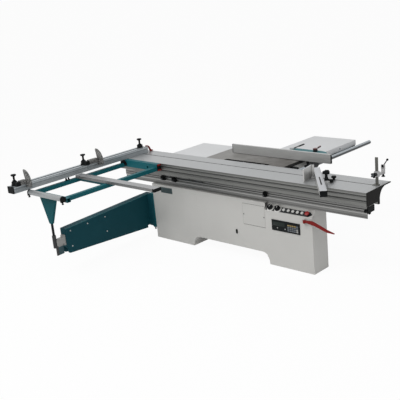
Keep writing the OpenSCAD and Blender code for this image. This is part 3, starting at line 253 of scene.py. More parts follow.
def block(low, high, edge, segments=2):
    # A box whose edges are all rounded off in edit mode
    clearSelection()
    low, high = Vector(low), Vector(high)
    bpy.ops.mesh.primitive_cube_add(size=1, location=(low + high) / 2, scale=high - low)
    piece = bpy.context.object
    bpy.ops.object.transform_apply(location=True, rotation=True, scale=True)
    editing(piece, "EDGE")
    bpy.ops.mesh.select_all(action="SELECT")
    bpy.ops.mesh.bevel(offset=edge, segments=segments, affect="EDGES")
    bpy.ops.object.mode_set(mode="OBJECT")
    return piece


def turned(steps, place, axis=(0, 0, 1), sides=24):
    # A turned piece: a disc extruded and scaled from one (height, radius) step to the next
    clearSelection()
    height, radius = steps[0]
    foot = Vector(place) + Vector(axis) * height
    bpy.ops.mesh.primitive_circle_add(vertices=sides, radius=radius, fill_type="NGON")
    piece = bpy.context.object
    editing(piece)
    bpy.ops.mesh.select_all(action="SELECT")
    bpy.ops.mesh.flip_normals()
    for nextHeight, nextRadius in steps[1:]:
        bpy.ops.mesh.extrude_region_move(TRANSFORM_OT_translate={"value": (0, 0, nextHeight - height)})
        share = nextRadius / radius
        bpy.ops.transform.resize(value=(share, share, 1), center_override=(0, 0, nextHeight - steps[0][0]))
        height, radius = nextHeight, nextRadius
    bpy.ops.mesh.select_all(action="SELECT")
    bpy.ops.mesh.normals_make_consistent(inside=False)
    bpy.ops.object.mode_set(mode="OBJECT")
    piece.rotation_euler = Vector((0, 0, 1)).rotation_difference(Vector(axis)).to_euler()
    piece.location = foot
    return piece


def slab(outline, depth, edge, place=(0, 0, 0), turn=(0, 0, 0)):
    # A flat plate: a disc whose corners are moved to the outline, extruded and softened round its top
    clearSelection()
    bpy.ops.mesh.primitive_circle_add(vertices=len(outline), radius=1, fill_type="NGON")
    piece = bpy.context.object
    for corner, (x, y) in zip(piece.data.vertices, outline):
        corner.co = (x, y, 0)
    editing(piece)
    bpy.ops.mesh.select_all(action="SELECT")
    bpy.ops.mesh.extrude_region_move(TRANSFORM_OT_translate={"value": (0, 0, depth)})
    bpy.ops.mesh.select_all(action="SELECT")
    bpy.ops.mesh.normals_make_consistent(inside=False)
    bpy.ops.mesh.select_mode(type="EDGE")
    bpy.ops.mesh.select_all(action="DESELECT")
    pick(piece, lambda middle, way: middle.z > depth * 0.9, "edges")
    bpy.ops.mesh.bevel(offset=edge, segments=2, affect="EDGES")
    bpy.ops.object.mode_set(mode="OBJECT")
    piece.rotation_euler = turn
    piece.location = place
    return piece


def spread(piece, places):
    # One shape at several places: the piece itself at the first, and copies with their own meshes
    start = piece.location.copy()
    pieces = [piece]
    for _ in places[1:]:
        other = piece.copy()
        other.data = piece.data.copy()
        bpy.context.scene.collection.objects.link(other)
        pieces.append(other)
    for other, place in zip(pieces, places):
        other.location = start + Vector(place)
    return pieces


origin = (0, 0, 0)
toFront = (0, -1, 0)
frontTurn = (math.pi / 2, 0, 0)
sideTurn = (math.pi / 2, 0, math.pi / 2)


def profileMetal(name, turn, top, side, ribs=0.0, black=(), lightAndShadeBands=()):
    # Extruded aluminium: brush lines along one direction, a paler top and darker sides that are painted light and
    # painted shade, bands of painted shade and painted highlight between given levels, black plastic beyond the given
    # ends
    material, tree, shader, place = newMaterial(name)
    along = place.add("ShaderNodeMapping", {"Vector": place, "Rotation": (0, 0, turn)})
    normal = Field(place.socket.node.outputs["Normal"])
    lines = along.stretched((1.2, 90, 90)).noise(9.0, 4.0).ramp(0.3, 0.7)
    # painted light: faces turned up take the pale top colour, faces turned sideways the darker side colour
    litUpward = normal.axis(2).ramp(0.3, 0.8)
    tone = litUpward.blend((*side, 1), (*top, 1))
    streakAndShade = lines * 0.22 + 0.86
    if ribs:
        rib = (along.axis(1) * (2 * math.pi / ribs)).maths("SINE")
        streakAndShade = streakAndShade * (1.0 - litUpward * rib.ramp(0.55, 1.0, 0.0, 0.2))
    # painted shade and painted highlight: each band darkens or brightens the colour between two levels along one axis
    for axis, low, high, share in lightAndShadeBands:
        level = place.axis(axis)
        inside = level.maths("GREATER_THAN", low) * level.maths("LESS_THAN", high)
        streakAndShade = streakAndShade * (inside * (share - 1.0) + 1.0)
    tinted = tone.scaled(streakAndShade)
    cover = None
    for axis, limit, sign in black:
        beyond = (place.axis(axis) * sign).maths("GREATER_THAN", limit * sign)
        cover = beyond if cover is None else cover.maths("MAXIMUM", beyond)
    shader.inputs["Metallic"].default_value = 0.75
    join(tree, tinted, shader.inputs["Base Color"])
    join(tree, lines.ramp(0, 1, 0.36, 0.5), shader.inputs["Roughness"])
    relief = lines.add("ShaderNodeBump", {"Height": lines, "Strength": 0.08, "Distance": 0.0003})
    join(tree, relief, shader.inputs["Normal"])
    if cover:
        plug = lines.add("ShaderNodeBsdfPrincipled", {
            "Base Color": (0.008, 0.008, 0.0075, 1), "Roughness": 0.55, "Specular IOR Level": 0.08})
        ends = lines.add("ShaderNodeMixShader", {0: cover, 1: Field(shader.outputs["BSDF"]), 2: plug})
        join(tree, ends, tree.nodes["Material Output"].inputs["Surface"])
    return material


tableLow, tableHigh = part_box("table_profile")
beamLow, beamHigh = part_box("lower_beam")
# Table bands: painted highlight over its two grooves, painted shade on the strips above and below them
tableMetal = profileMetal(
    "tableAluminium", 0, (0.41, 0.42, 0.425), (0.19, 0.192, 0.184), 0.03,
    ((0, tableHigh.x - 0.0085, 1), (0, tableLow.x + 0.0085, -1)),
    ((2, 0.853, 0.8695, 0.82), (2, 0.836, 0.853, 1.3), (2, 0.826, 0.836, 0.68),
     (2, 0.799, 0.809, 1.3), (2, 0.781, 0.799, 0.66)))
# Beam bands: painted shade in its grooves and painted highlight on its rails
beamMetal = profileMetal(
    "beamAluminium", 0, (0.4, 0.405, 0.4), (0.205, 0.205, 0.2), 0,
    ((0, beamHigh.x - 0.001, 1), (0, beamLow.x + 0.001, -1)),
    ((2, 0.6765, 0.6845, 0.28), (2, 0.6675, 0.6765, 1.35), (2, 0.659, 0.6675, 0.42),
     (2, 0.638, 0.6475, 1.9), (2, 0.610, 0.618, 0.6)))
# Fence bands: painted shade and painted highlight at levels along its sides, and a painted shade line along the
# middle of its top over the slot
fenceMetal = profileMetal(
    "fenceAluminium", math.pi / 2, (0.40, 0.435, 0.455), (0.315, 0.34, 0.355),
    lightAndShadeBands=((2, 0.931, 0.9352, 0.75), (2, 0.917, 0.931, 1.45), (2, 0.909, 0.917, 0.7), (0, -1.285, -1.264, 0.45)))
barMetal = profileMetal("barAluminium", 0, (0.34, 0.345, 0.35), (0.21, 0.21, 0.21))
ripMetal = profileMetal("ripAluminium", 0, (0.47, 0.475, 0.47), (0.45, 0.452, 0.445))
mitreMetal = profileMetal("mitreAluminium", math.radians(51), (0.5, 0.51, 0.53), (0.5, 0.498, 0.488))
for name, material in (
    ("table_profile", tableMetal), ("lower_beam", beamMetal), ("fence_profile", fenceMetal),
    ("support_bar", barMetal), ("rip_fence_bar", ripMetal), ("mitre_bar", mitreMetal),
):
    paint(nodes[name], material)


def split(name, axis, limit, below, above, roughness, shine=0.5):
    # Two colours on one piece, parted at a height or a distance: two paints, or painted shade against painted
    # highlight
    material, tree, shader, place = newMaterial(name)
    fine = place.noise(400.0)
    tone = place.axis(axis).maths("GREATER_THAN", limit)
    mixed = tone.blend((*below, 1), (*above, 1))
    join(tree, mixed.scaled(fine.ramp(0.3, 0.7, 0.92, 1.06)), shader.inputs["Base Color"])
    join(tree, fine.ramp(0.3, 0.7, roughness - 0.05, roughness + 0.05), shader.inputs["Roughness"])
    shader.inputs["Specular IOR Level"].default_value = shine
    return material


print("profile metals made")


def consoleFinish():
    # The console's grey coat with the black strip on its desk and a white dial round each selector
    material = finishes["grey_paint"].copy()
    material.name = "consolePaint"
    tree = material.node_tree
    shader = tree.nodes["Principled BSDF"]
    coat = Field(shader.inputs["Base Color"].links[0].from_socket)
    place = Field(tree.nodes["Texture Coordinate"].outputs["Object"])
    x, y, z = (place.axis(i) for i in range(3))
    slope = (y + desk["y"]) * math.cos(desk["tilt"]) + (z - desk["z"]) * math.sin(desk["tilt"])
    out = (z - desk["z"]) * math.cos(desk["tilt"]) - (y + desk["y"]) * math.sin(desk["tilt"])
    onDesk = out.maths("ABSOLUTE").maths("LESS_THAN", desk["flat"])
    half = slope.maths("ABSOLUTE")
    strip = onDesk * half.maths("LESS_THAN", desk["strip"])
    strip = strip * x.maths("GREATER_THAN", desk["left"])
    strip = strip * (x + half * desk["taper"]).maths("LESS_THAN", desk["tip"])
    dials = None
    for knobX in desk["knobs"]:
        away = ((x - knobX) * (x - knobX) + slope * slope).maths("SQRT")
        ring = away.maths("LESS_THAN", desk["dial"])
        dials = ring if dials is None else dials.maths("MAXIMUM", ring)
    tone = strip.blend(coat, (0.014, 0.015, 0.016, 1))
    tone = (dials * onDesk).blend(tone, (0.7, 0.7, 0.68, 1))
    join(tree, tone, shader.inputs["Base Color"])
    return material


desk = {
    "y": 0.351, "z": 0.5515, "tilt": math.radians(36.5), "knobs": (0.5505, 0.6345), "dial": 0.037,
    "left": 0.503, "tip": 1.014, "strip": 0.027, "taper": 1.3, "flat": 0.001,
    "stopX": 0.9626, "cheeks": (0.502, 1.018), "turns": (math.radians(-20), math.radians(15)), "markUp": 0.0301,
}
paint(nodes["control_console"], consoleFinish())

screen = {
    "x0": 0.578, "x1": 0.888, "z0": 0.357, "z1": 0.454, "front": -0.384,
    "buttons": (0.21, 0.49), "buttonZ": 0.027,
}
keys = {
    "rows": 4, "columns": 5, "left": 0.178, "top": 0.034, "across": 0.0245, "down": 0.0165,
    "wide": 0.0195, "tall": 0.0115,
}
glass = coated("screenGlass", (0.012, 0.02, 0.017), (0.009, 0.014, 0.012), 0.25, grain=300, shine=0.2)
keyBlue = coated("keyBlue", (0.17, 0.185, 0.2), (0.13, 0.145, 0.16), 0.5, grain=500, shine=0.2)
keyAmber = coated("keyAmber", (0.36, 0.27, 0.12), (0.29, 0.21, 0.09), 0.5, grain=500, shine=0.2)
paleKey = coated("keyPale", (0.42, 0.42, 0.41), (0.36, 0.36, 0.35), 0.4, grain=300)
window = block(
    (screen["x0"] + 0.014, screen["front"] - 0.0014, screen["z1"] - 0.05),
    (screen["x0"] + 0.15, screen["front"] + 0.002, screen["z1"] - 0.012), 0.0006)
dress(window, "displayWindow", "frame", glass)
places = [
    (screen["x0"] + share * (screen["x1"] - screen["x0"]), screen["front"], screen["z0"] + screen["buttonZ"])
    for share in screen["buttons"]]
button = turned(((0, 0.006), (0.002, 0.006), (0.0034, 0.005), (0.004, 0.0025)), origin, toFront)
for i, button in enumerate(spread(button, places)):
    dress(button, f"displayButton{i + 1}", "frame", paleKey)
places = [
    (screen["x0"] + keys["left"] + column * keys["across"], screen["front"],
     screen["z1"] - keys["top"] - row * keys["down"])
    for row in range(keys["rows"]) for column in range(keys["columns"])]
key = block((0, -0.0018, 0), (keys["wide"], 0.001, keys["tall"]), 0.0007)
for i, key in enumerate(spread(key, places)):
    row, column = divmod(i, keys["columns"])
    tint = keyAmber if row == 0 and column < 4 else paleKey if column == 4 and row > 1 else keyBlue
    dress(key, f"displayKey{row}{column}", "frame", tint)
frameEdge = block(
    (screen["x0"] - 0.003, screen["front"] + 0.003, screen["z0"] - 0.003),
    (screen["x1"] + 0.003, screen["front"] + 0.0078, screen["z1"] + 0.003), 0.0015)
dress(frameEdge, "displayFrame", "frame", finishes["black_plastic"])
print("control panel dressed")

# painted shade used for seams and slots
paintedSeamShade = coated("seamShadow", (0.03, 0.03, 0.03), (0.022, 0.022, 0.022), 0.8, grain=300)
access = {
    "x0": 0.227, "x1": 0.493, "z0": 0.355, "z1": 0.558, "front": -0.3705, "seam": (-0.3687, -0.3675),
    "screws": (0.238, 0.481), "screwZ": 0.453,
}
# painted shadow: a dark plate just behind the edge of the access panel shows as the shadow line round it
seam = block(
    (access["x0"] - 0.003, access["seam"][0], access["z0"] - 0.004),
    (access["x1"] + 0.002, access["seam"][1], access["z1"] + 0.002), 0.0003)
dress(seam, "accessSeamShade", "frame", paintedSeamShade)
plate = block(
    (access["x0"], access["front"] - 0.0015, access["z0"]),
    (access["x1"], access["front"] + 0.001, access["z1"]), 0.0012, 3)
dress(plate, "accessPlate", "frame", finishes["grey_paint"])
screw = turned(
    ((0, 0.0058), (0.0016, 0.0058), (0.0026, 0.0044), (0.0026, 0.0026), (0.0012, 0.0024)), origin, toFront, 18)
places = [(x, access["front"] - 0.0015, access["screwZ"]) for x in access["screws"]]
for i, screw in enumerate(spread(screw, places)):
    dress(screw, f"accessScrew{i + 1}", "frame", finishes["motor_paint"])

label = {"x0": -0.886, "x1": -0.719, "z0": 0.517, "z1": 0.577, "front": -0.368}
tag = block(
    (label["x0"], label["front"] - 0.002, label["z0"]),
    (label["x1"], label["front"] + 0.001, label["z1"]), 0.0008)
editing(tag)
pick(tag, lambda middle, normal: normal.y < -0.9)
bpy.ops.mesh.inset(thickness=0.005)
bpy.ops.transform.translate(value=(0, 0.0008, 0))
tagPaint = coated("namePlate", (0.085, 0.115, 0.12), (0.06, 0.085, 0.09), 0.35, 0.4, 60)
dress(tag, "namePlate", "frame", tagPaint)
print("base plates made")

black = finishes["black_plastic"]
darkSteel = coated("darkSteel", (0.1, 0.105, 0.11), (0.07, 0.075, 0.08), 0.35, 0.8, 60)

stops = {
    "places": ((-0.847, 0.026), (-0.684, 0.026), (0.496, 0.017)), "front": -0.340, "low": 0.650, "high": 0.6985,
    "rod": (-0.88, -0.353, 0.6885), "bumpers": ((1.535, -0.350, 0.668), (1.535, -0.296, 0.640)),
}
for i, (x, half) in enumerate(stops["places"]):
    body = block(
        (x - half, stops["front"] - 0.024, stops["low"]),
        (x + half, stops["front"] + 0.001, stops["high"]), 0.003)
    editing(body)
    pick(body, lambda middle, normal: normal.y < -0.9)
    bpy.ops.mesh.inset(thickness=0.007)
    bpy.ops.mesh.extrude_region_move(TRANSFORM_OT_translate={"value": (0, -0.009, 0)})
    dress(body, f"beamStop{i + 1}", "frame", black)
screw = turned(
    ((0, 0.009), (0.008, 0.009), (0.010, 0.007), (0.010, 0.004), (0.004, 0.004)), origin, toFront, 18)
places = [(x, stops["front"] - 0.033, stops["low"] + 0.018) for x, half in stops["places"]]
for i, screw in enumerate(spread(screw, places)):
    dress(screw, f"beamStopScrew{i + 1}", "frame", darkSteel)
rod = turned(
    ((0, 0.004), (0.004, 0.0075), (0.018, 0.0075), (0.019, 0.0045),
     (0.581, 0.0045), (0.582, 0.0075), (0.596, 0.0075), (0.6, 0.004)),
    stops["rod"], (1, 0, 0), 14)
dress(rod, "beamRod", "frame", darkSteel)
bumper = turned(
    ((0, 0.010), (0.006, 0.010), (0.007, 0.014), (0.019, 0.014), (0.022, 0.011), (0.0235, 0.006)),
    origin, (1, 0, 0), 20)
for i, bumper in enumerate(spread(bumper, stops["bumpers"])):
    dress(bumper, f"beamBumper{i + 1}", "frame", black)

capSink = 0.003


def endCap(name, body, low, high, axis, sign, rim, turn=0.0, pivot=(0, 0, 0)):
    # A plastic cap on the end of a bar: rounded block with a sunk face on its outer side
    cap = block(low, high, 0.0016)
    editing(cap)
    pick(cap, lambda middle, normal: normal[axis] * sign > 0.9)
    bpy.ops.mesh.inset(thickness=rim)
    push = [0, 0, 0]
    push[axis] = -capSink * sign
    bpy.ops.transform.translate(value=push)
    bpy.ops.object.mode_set(mode="OBJECT")
    cap.rotation_euler = (0, 0, turn)
    cap.location = pivot
    return dress(cap, name, body, black)


for name, low, high, sign in (
    ("beamEndNear", beamHigh.x - 0.004, beamHigh.x + 0.008, 1),
    ("beamEndFar", beamLow.x - 0.008, beamLow.x + 0.004, -1),
):
    endCap(name, "frame", (low, -0.337, 0.646), (high, -0.236, 0.7), 0, sign, 0.008)
print("beam fittings made")

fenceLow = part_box("fence_profile")[0]
fenceMiddle, fenceHalf = -1.2745, 0.0455
endCap("fenceCap", "fence", (fenceMiddle - fenceHalf, fenceLow.y - 0.007, 0.8712),
       (fenceMiddle + fenceHalf, fenceLow.y + 0.006, 0.9362), 1, -1, 0.007)
barLow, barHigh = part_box("support_bar")
endCap("supportCap", "table", (barHigh.x - 0.022, barLow.y - 0.0012, barLow.z - 0.001),
       (barHigh.x + 0.007, barHigh.y + 0.0012, barHigh.z - 0.0003), 0, 1, 0.006)
mitre = {
    "x": 1.020, "y": -0.250, "turn": math.radians(-51), "top": 0.9186,
    "cap": ((0.5785, -0.0303, 0.8708), (0.592, 0.0303, 0.9192)),
}
endCap("mitreCap", "mitre", *mitre["cap"], 0, 1, 0.007, mitre["turn"], (mitre["x"], mitre["y"], 0))
ripLow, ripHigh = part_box("rip_fence_bar")
endCap("ripCapNear", "rip_bar", (ripHigh.x - 0.002, ripLow.y + 0.0008, ripLow.z + 0.001),
       (ripHigh.x + 0.004, ripHigh.y - 0.0012, ripHigh.z - 0.014), 0, 1, 0.004)
endCap("ripCapFar", "rip_bar", (ripLow.x - 0.006, ripLow.y - 0.0004, ripLow.z),
       (ripLow.x + 0.003, ripHigh.y - 0.0004, ripHigh.z), 0, -1, 0.004)

nose = {"x": -1.2425, "wide": 0.018}
outline = [
    (-0.186, 0.944), (-0.166, 0.9435), (-0.148, 0.935), (-0.134, 0.918), (-0.124, 0.898), (-0.114, 0.886),
    (-0.1, 0.8835), (-0.0945, 0.879), (-0.0945, 0.8716), (-0.13, 0.8716), (-0.137, 0.888), (-0.145, 0.908),
    (-0.155, 0.925), (-0.168, 0.9335), (-0.186, 0.9345)]
curl = slab(outline, nose["wide"], 0.002, (nose["x"] - nose["wide"], 0, 0), sideTurn)
dress(curl, "fenceTip", "fence", finishes["red_paint"])
print("bar ends capped")


def extensionFinish():
    # Black sleeve round the leg rod, dark teal tongue below, bare grey tube for the rest
    material, tree, shader, place = newMaterial("extensionPaint")
    x, y, z = (place.axis(i) for i in range(3))
    fine = place.noise(300.0)
    far = (x - sleeve["x"]) * (x - sleeve["x"]) + (y - sleeve["y"]) * (y - sleeve["y"])
    tone = z.maths("LESS_THAN", sleeve["tongueTop"]).blend((0.3, 0.3, 0.29, 1), (0.005, 0.045, 0.058, 1))
    tone = far.maths("LESS_THAN", sleeve["reach"] ** 2).blend(tone, (0.012, 0.013, 0.014, 1))
    join(tree, tone, shader.inputs["Base Color"])
    join(tree, fine.ramp(0.3, 0.7, 0.38, 0.5), shader.inputs["Roughness"])
    return material


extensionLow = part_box("arm_extension")[0]
sleeve = {"x": -1.035, "y": -1.655, "reach": 0.028, "tongueTop": extensionLow.z + 0.08}
paint(nodes["arm_extension"], extensionFinish())

hinge = {"x": -1.050, "y": -0.355, "pinLow": 0.1132, "turn": math.radians(4.65), "face": -0.051}


def onArm(along, height, out=0.0):
    # A place on the swing arm's face, measured along the arm from its hinge
    x, y = hinge["face"] + out, -along
    c, s = math.cos(hinge["turn"]), math.sin(hinge["turn"])
    return (hinge["x"] + x * c - y * s, hinge["y"] + x * s + y * c, height)


armWay = (math.cos(hinge["turn"]), math.sin(hinge["turn"]), 0)
zinc = coated("zincPlate", (0.6, 0.61, 0.6), (0.5, 0.51, 0.5), 0.35, 0.7, 80)
arm = {
    "bolts": ((1.127, 0.424), (0.901, 0.425), (1.124, 0.267), (0.662, 0.418), (0.657, 0.264)),
    "sheets": {"armSheetFront": -0.0005, "armSheetBack": -0.0655}, "sheet": 0.003, "edge": 0.001,
}
bolt = turned(
    ((-0.001, 0.0075), (0.0035, 0.0075), (0.004, 0.0055), (0.007, 0.0053), (0.008, 0.0045), (0.008, 0.002)),
    origin, armWay, 6)
for i, bolt in enumerate(spread(bolt, [onArm(along, height) for along, height in arm["bolts"]])):
    dress(bolt, f"armBolt{i + 1}", "arm", zinc)
armEdge = coated("armEdge", (0.012, 0.13, 0.15), (0.009, 0.105, 0.125), 0.4, grain=400, bump=0.05)
armSide = (math.pi / 2, 0, hinge["turn"] - math.pi / 2)
sheet = [
    (0.06, 0.1065), (1.150, 0.2055), (1.168, 0.2095), (1.180, 0.219), (1.1865, 0.235), (1.188, 0.252),
    (1.188, 0.4625), (0.06, 0.474)]
plate = slab(sheet, arm["sheet"], arm["edge"], origin, armSide)
plates = spread(plate, [onArm(0, 0, out) for out in arm["sheets"].values()])
for name, plate in zip(arm["sheets"], plates):
    dress(plate, name, "arm", finishes["dark_teal_paint"])
lowFold = slab(
    [(0.06, 0.1068), (1.150, 0.2058), (1.150, 0.2088), (0.06, 0.1098)], 0.0628, 0.0005,
    onArm(0, 0, -0.0628), armSide)
dress(lowFold, "armFoldLow", "arm", armEdge)
topFold = slab(
    [(0.02, 0.4665), (1.187, 0.4545), (1.187, 0.4625), (0.02, 0.4745)], 0.002, 0.001,
    onArm(0, 0, 0.0024), armSide)
dress(topFold, "armFoldTop", "arm", armEdge)
pinEnd = turned(
    ((0, 0.0165), (0.009, 0.0165), (0.0105, 0.0145), (0.0108, 0.0085),
     (0.032, 0.0085), (0.034, 0.0065), (0.035, 0.002)),
    (hinge["x"], hinge["y"], hinge["pinLow"]), (0, 0, -1), 18)
dress(pinEnd, "hingePinEnd", "frame", darkSteel)
print("arm fitted out")

endBeam = {
    "near": -0.737, "front": -0.525, "back": -0.473, "low": 0.800, "high": 0.870,
    "screws": ((-1.226, 0.823), (-1.206, 0.829)),
    "clamp": ((-1.258, -0.552, 0.8405), (-1.216, -0.522, 0.8695)), "clampEdge": 0.003,
}
endCap("endBeamCap", "table", (endBeam["near"] - 0.003, endBeam["front"] + 0.0006, endBeam["low"] + 0.0006),
       (endBeam["near"] + 0.006, endBeam["back"] - 0.0006, endBeam["high"] - 0.0006), 0, 1, 0.006)
for name, low, high in (("endBeamLugTop", 0.852, 0.8695), ("endBeamLugLow", 0.801, 0.815)):
    lug = block(
        (endBeam["near"] + 0.003, endBeam["front"] + 0.004, low),
        (endBeam["near"] + 0.011, endBeam["back"] - 0.004, high), 0.002)
    dress(lug, name, "table", finishes["red_paint"])
clampBlock = block(*endBeam["clamp"], endBeam["clampEdge"])
editing(clampBlock)
pick(clampBlock, lambda middle, normal: normal.x > 0.9)
bpy.ops.mesh.inset(thickness=0.006)
bpy.ops.mesh.extrude_region_move(TRANSFORM_OT_translate={"value": (0.012, 0, -0.004)})
dress(clampBlock, "endBeamClamp", "table", black)
screw = turned(
    ((0, 0.013), (0.009, 0.013), (0.012, 0.010), (0.016, 0.010), (0.018, 0.006)), origin, toFront, 16)
places = [(x, endBeam["front"] + 0.001, z) for x, z in endBeam["screws"]]
for i, screw in enumerate(spread(screw, places)):
    dress(screw, f"endBeamScrew{i + 1}", "table", black)
print("end beam fitted out")


def speckled(name, light, dark, spots):
    # Rough casting with dark spots
    material, tree, shader, place = newMaterial(name)
    spot = place.noise(spots, 2.0).ramp(0.46, 0.58)
    join(tree, spot.blend((*dark, 1), (*light, 1)), shader.inputs["Base Color"])
    join(tree, spot.ramp(0, 1, 0.65, 0.5), shader.inputs["Roughness"])
    relief = spot.add("ShaderNodeBump", {"Height": spot, "Strength": 0.3, "Distance": 0.001})
    join(tree, relief, shader.inputs["Normal"])
    return material


casting = speckled("stopCasting", (0.25, 0.25, 0.24), (0.05, 0.05, 0.05), 95.0)
finger = {"x": -1.221, "z": 0.9597, "thick": 0.012, "wide": 0.102, "tall": 0.131, "drop": -0.02}
fenceStops = {
    "sliders": (-1.83, -1.015), "fingers": (-1.735, -0.87), "footZ": 0.9362, "gripZ": 0.9762, "stem": 0.008,
    "armX": (-1.254, -1.209), "armZ": (0.9368, 0.981), "armEdge": 0.006,
}
swivel = {"y": -0.25, "footZ": 0.9358, "gripZ": 0.9674, "stem": 0.02}
fingerSide = [
    (-0.022 + finger["wide"] * math.sin(math.radians(a)), finger["drop"] + finger["tall"] * math.cos(math.radians(a)))
    for a in range(0, 91, 9)]
fingerSide += [
    (0.074, -0.041), (0.056, -0.053), (-0.004, -0.056), (-0.006, -0.012), (-0.012, 0.02), (-0.020, 0.06),
    (-0.027, 0.105)]
collar = ((0, 0.018), (0.006, 0.018), (0.009, 0.0165), (0.010, 0.012), (0.0105, 0.0095))
cap = (
    (0.047, 0.010), (0.052, 0.021), (0.056, 0.0255), (0.063, 0.0255), (0.066, 0.023), (0.0675, 0.014), (0.068, 0.006))


def mushroom(name, node, body, place, stem):
    # A clamping knob: flat collar, thin neck and a wide domed cap
    steps = [(-stem, 0.0055), (-0.0001, 0.0055), *collar, *cap]
    knob = turned(steps, place, sides=28)
    dress(knob, name, body, black)
    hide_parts(node)


blades = spread(
    slab(fingerSide, finger["thick"], 0.0022, origin, frontTurn),
    [(finger["x"], y + finger["thick"] / 2, finger["z"]) for y in fenceStops["fingers"]])
feet = spread(
    turned(((0, 0.028), (0.034, 0.028), (0.0385, 0.025), (0.039, 0.014)), origin, sides=28),
    [(fenceMiddle, y, fenceStops["footZ"]) for y in fenceStops["sliders"]])
for i, (middle, fingerY) in enumerate(zip(fenceStops["sliders"], fenceStops["fingers"])):
    dress(blades[i], f"stopFinger{i + 1}", f"finger_{i + 1}", casting)
    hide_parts(f"stop_finger_{i + 1}")
    holder = block(
        (fenceStops["armX"][0], middle + 0.022, fenceStops["armZ"][0]),
        (fenceStops["armX"][1], fingerY - 0.009, fenceStops["armZ"][1]), fenceStops["armEdge"], 3)
    editing(holder)
    pick(holder, lambda where, normal: normal.z > 0.9)
    bpy.ops.transform.resize(value=(0.7, 0.94, 1))
    dress(holder, f"stopArm{i + 1}", f"slider_{i + 1}", casting)
    dress(feet[i], f"stopFoot{i + 1}", f"slider_{i + 1}", black)
    mushroom(f"stopGrip{i + 1}", f"stop_knob_{i + 1}", f"grip_{i + 1}",
             (fenceMiddle, middle, fenceStops["gripZ"]), fenceStops["stem"])
base = turned(
    ((0, 0.0305), (0.026, 0.0305), (0.0312, 0.0292), (0.0316, 0.014)),
    (fenceMiddle, swivel["y"], swivel["footZ"]), sides=28)
dress(base, "fenceGripBase", "fence", black)
mushroom("fenceGrip", "fence_knob", "fence_grip", (fenceMiddle, swivel["y"], swivel["gripZ"]), swivel["stem"])
print("stops and knobs made")

darkTeal = (0.007, 0.105, 0.126)
paint(nodes["outrigger_frame"], split("framePaint", 1, -1.6765, (0.01, 0.011, 0.012), darkTeal, 0.45, 0.12))
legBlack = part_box("leg_bracket")[0].z + 0.118  # the leg is black up to here
paint(nodes["leg_bracket"], split(
    "legPaint", 2, legBlack, (0.01, 0.011, 0.012), (0.005, 0.078, 0.092), 0.5, 0.08))
paint(nodes["load_roller"], coated(
    "rollerSteel", (0.33, 0.345, 0.35), (0.26, 0.275, 0.28), 0.32, 0.35, 30, (3, 40, 40), 0.05))
studs = (
    (-1.2335, -1.722, 0.797, 0.821, 0.010), (-0.7115, -1.722, 0.797, 0.821, 0.010),
    (-1.242, -1.277, 0.8395, 0.8675, 0.012), (-1.242, -1.2475, 0.8395, 0.8675, 0.012),
)
for i, (x, y, low, high, radius) in enumerate(studs):
    tall = high - low
    stud = turned(
        ((0, radius), (0.3 * tall, radius), (0.34 * tall, 0.7 * radius), (0.8 * tall, 0.7 * radius),
         (tall, 0.5 * radius)), (x, y, low), sides=12)
    dress(stud, f"frameStud{i + 1}", "table", black)
rollerEnd = {"x": (-1.2365, -0.7155), "y": -1.713, "z": 0.845, "round": 0.026, "low": -0.030, "thick": 0.008}
cheek = []
for angle in range(0, 181, 20):
    a = math.radians(angle)
    cheek.append((rollerEnd["round"] * math.cos(a), rollerEnd["round"] * math.sin(a)))
cheek += [(-rollerEnd["round"], rollerEnd["low"]), (rollerEnd["round"], rollerEnd["low"])]
plate = slab(cheek, rollerEnd["thick"], 0.002, origin, sideTurn)
for i, plate in enumerate(spread(plate, [(x, rollerEnd["y"], rollerEnd["z"]) for x in rollerEnd["x"]])):
    dress(plate, f"rollerCheek{i + 1}", "table", black)
print("outrigger fitted out")


def tableIron():
    # Planed cast iron: worn brown-grey patches on top, darker towards +X, and near-black sides that are painted shade
    material, tree, shader, place = newMaterial("tableIron")
    patch = place.noise(9.0, 6.0).ramp(0.38, 0.64)
    scratch = place.stretched((3, 60, 60)).noise(12.0, 4.0).ramp(0.3, 0.7)
    # the patches are wear; the ramp makes the top darker towards +X
    patchesAndXRamp = patch * 0.45 + place.axis(0).ramp(-0.3, 0.45, 0.55, 0.0)
    tone = patchesAndXRamp.blend((0.085, 0.078, 0.07, 1), (0.3, 0.296, 0.286, 1))
    tone = tone.scaled(scratch.ramp(0, 1, 0.86, 1.1))
    # painted shade: faces not turned up are near-black
    up = Field(place.socket.node.outputs["Normal"]).axis(2).ramp(0.4, 0.7)
    join(tree, up.blend((0.01, 0.01, 0.0095, 1), tone), shader.inputs["Base Color"])
    join(tree, patch.ramp(0, 1, 0.42, 0.62), shader.inputs["Roughness"])
    shader.inputs["Specular IOR Level"].default_value = 0.3
    relief = patch.add("ShaderNodeBump", {"Height": patch, "Strength": 0.1, "Distance": 0.0006})
    join(tree, relief, shader.inputs["Normal"])
    return material


ironTop = tableIron()
for name in ("main_table", "table_insert"):
    paint(nodes[name], ironTop)
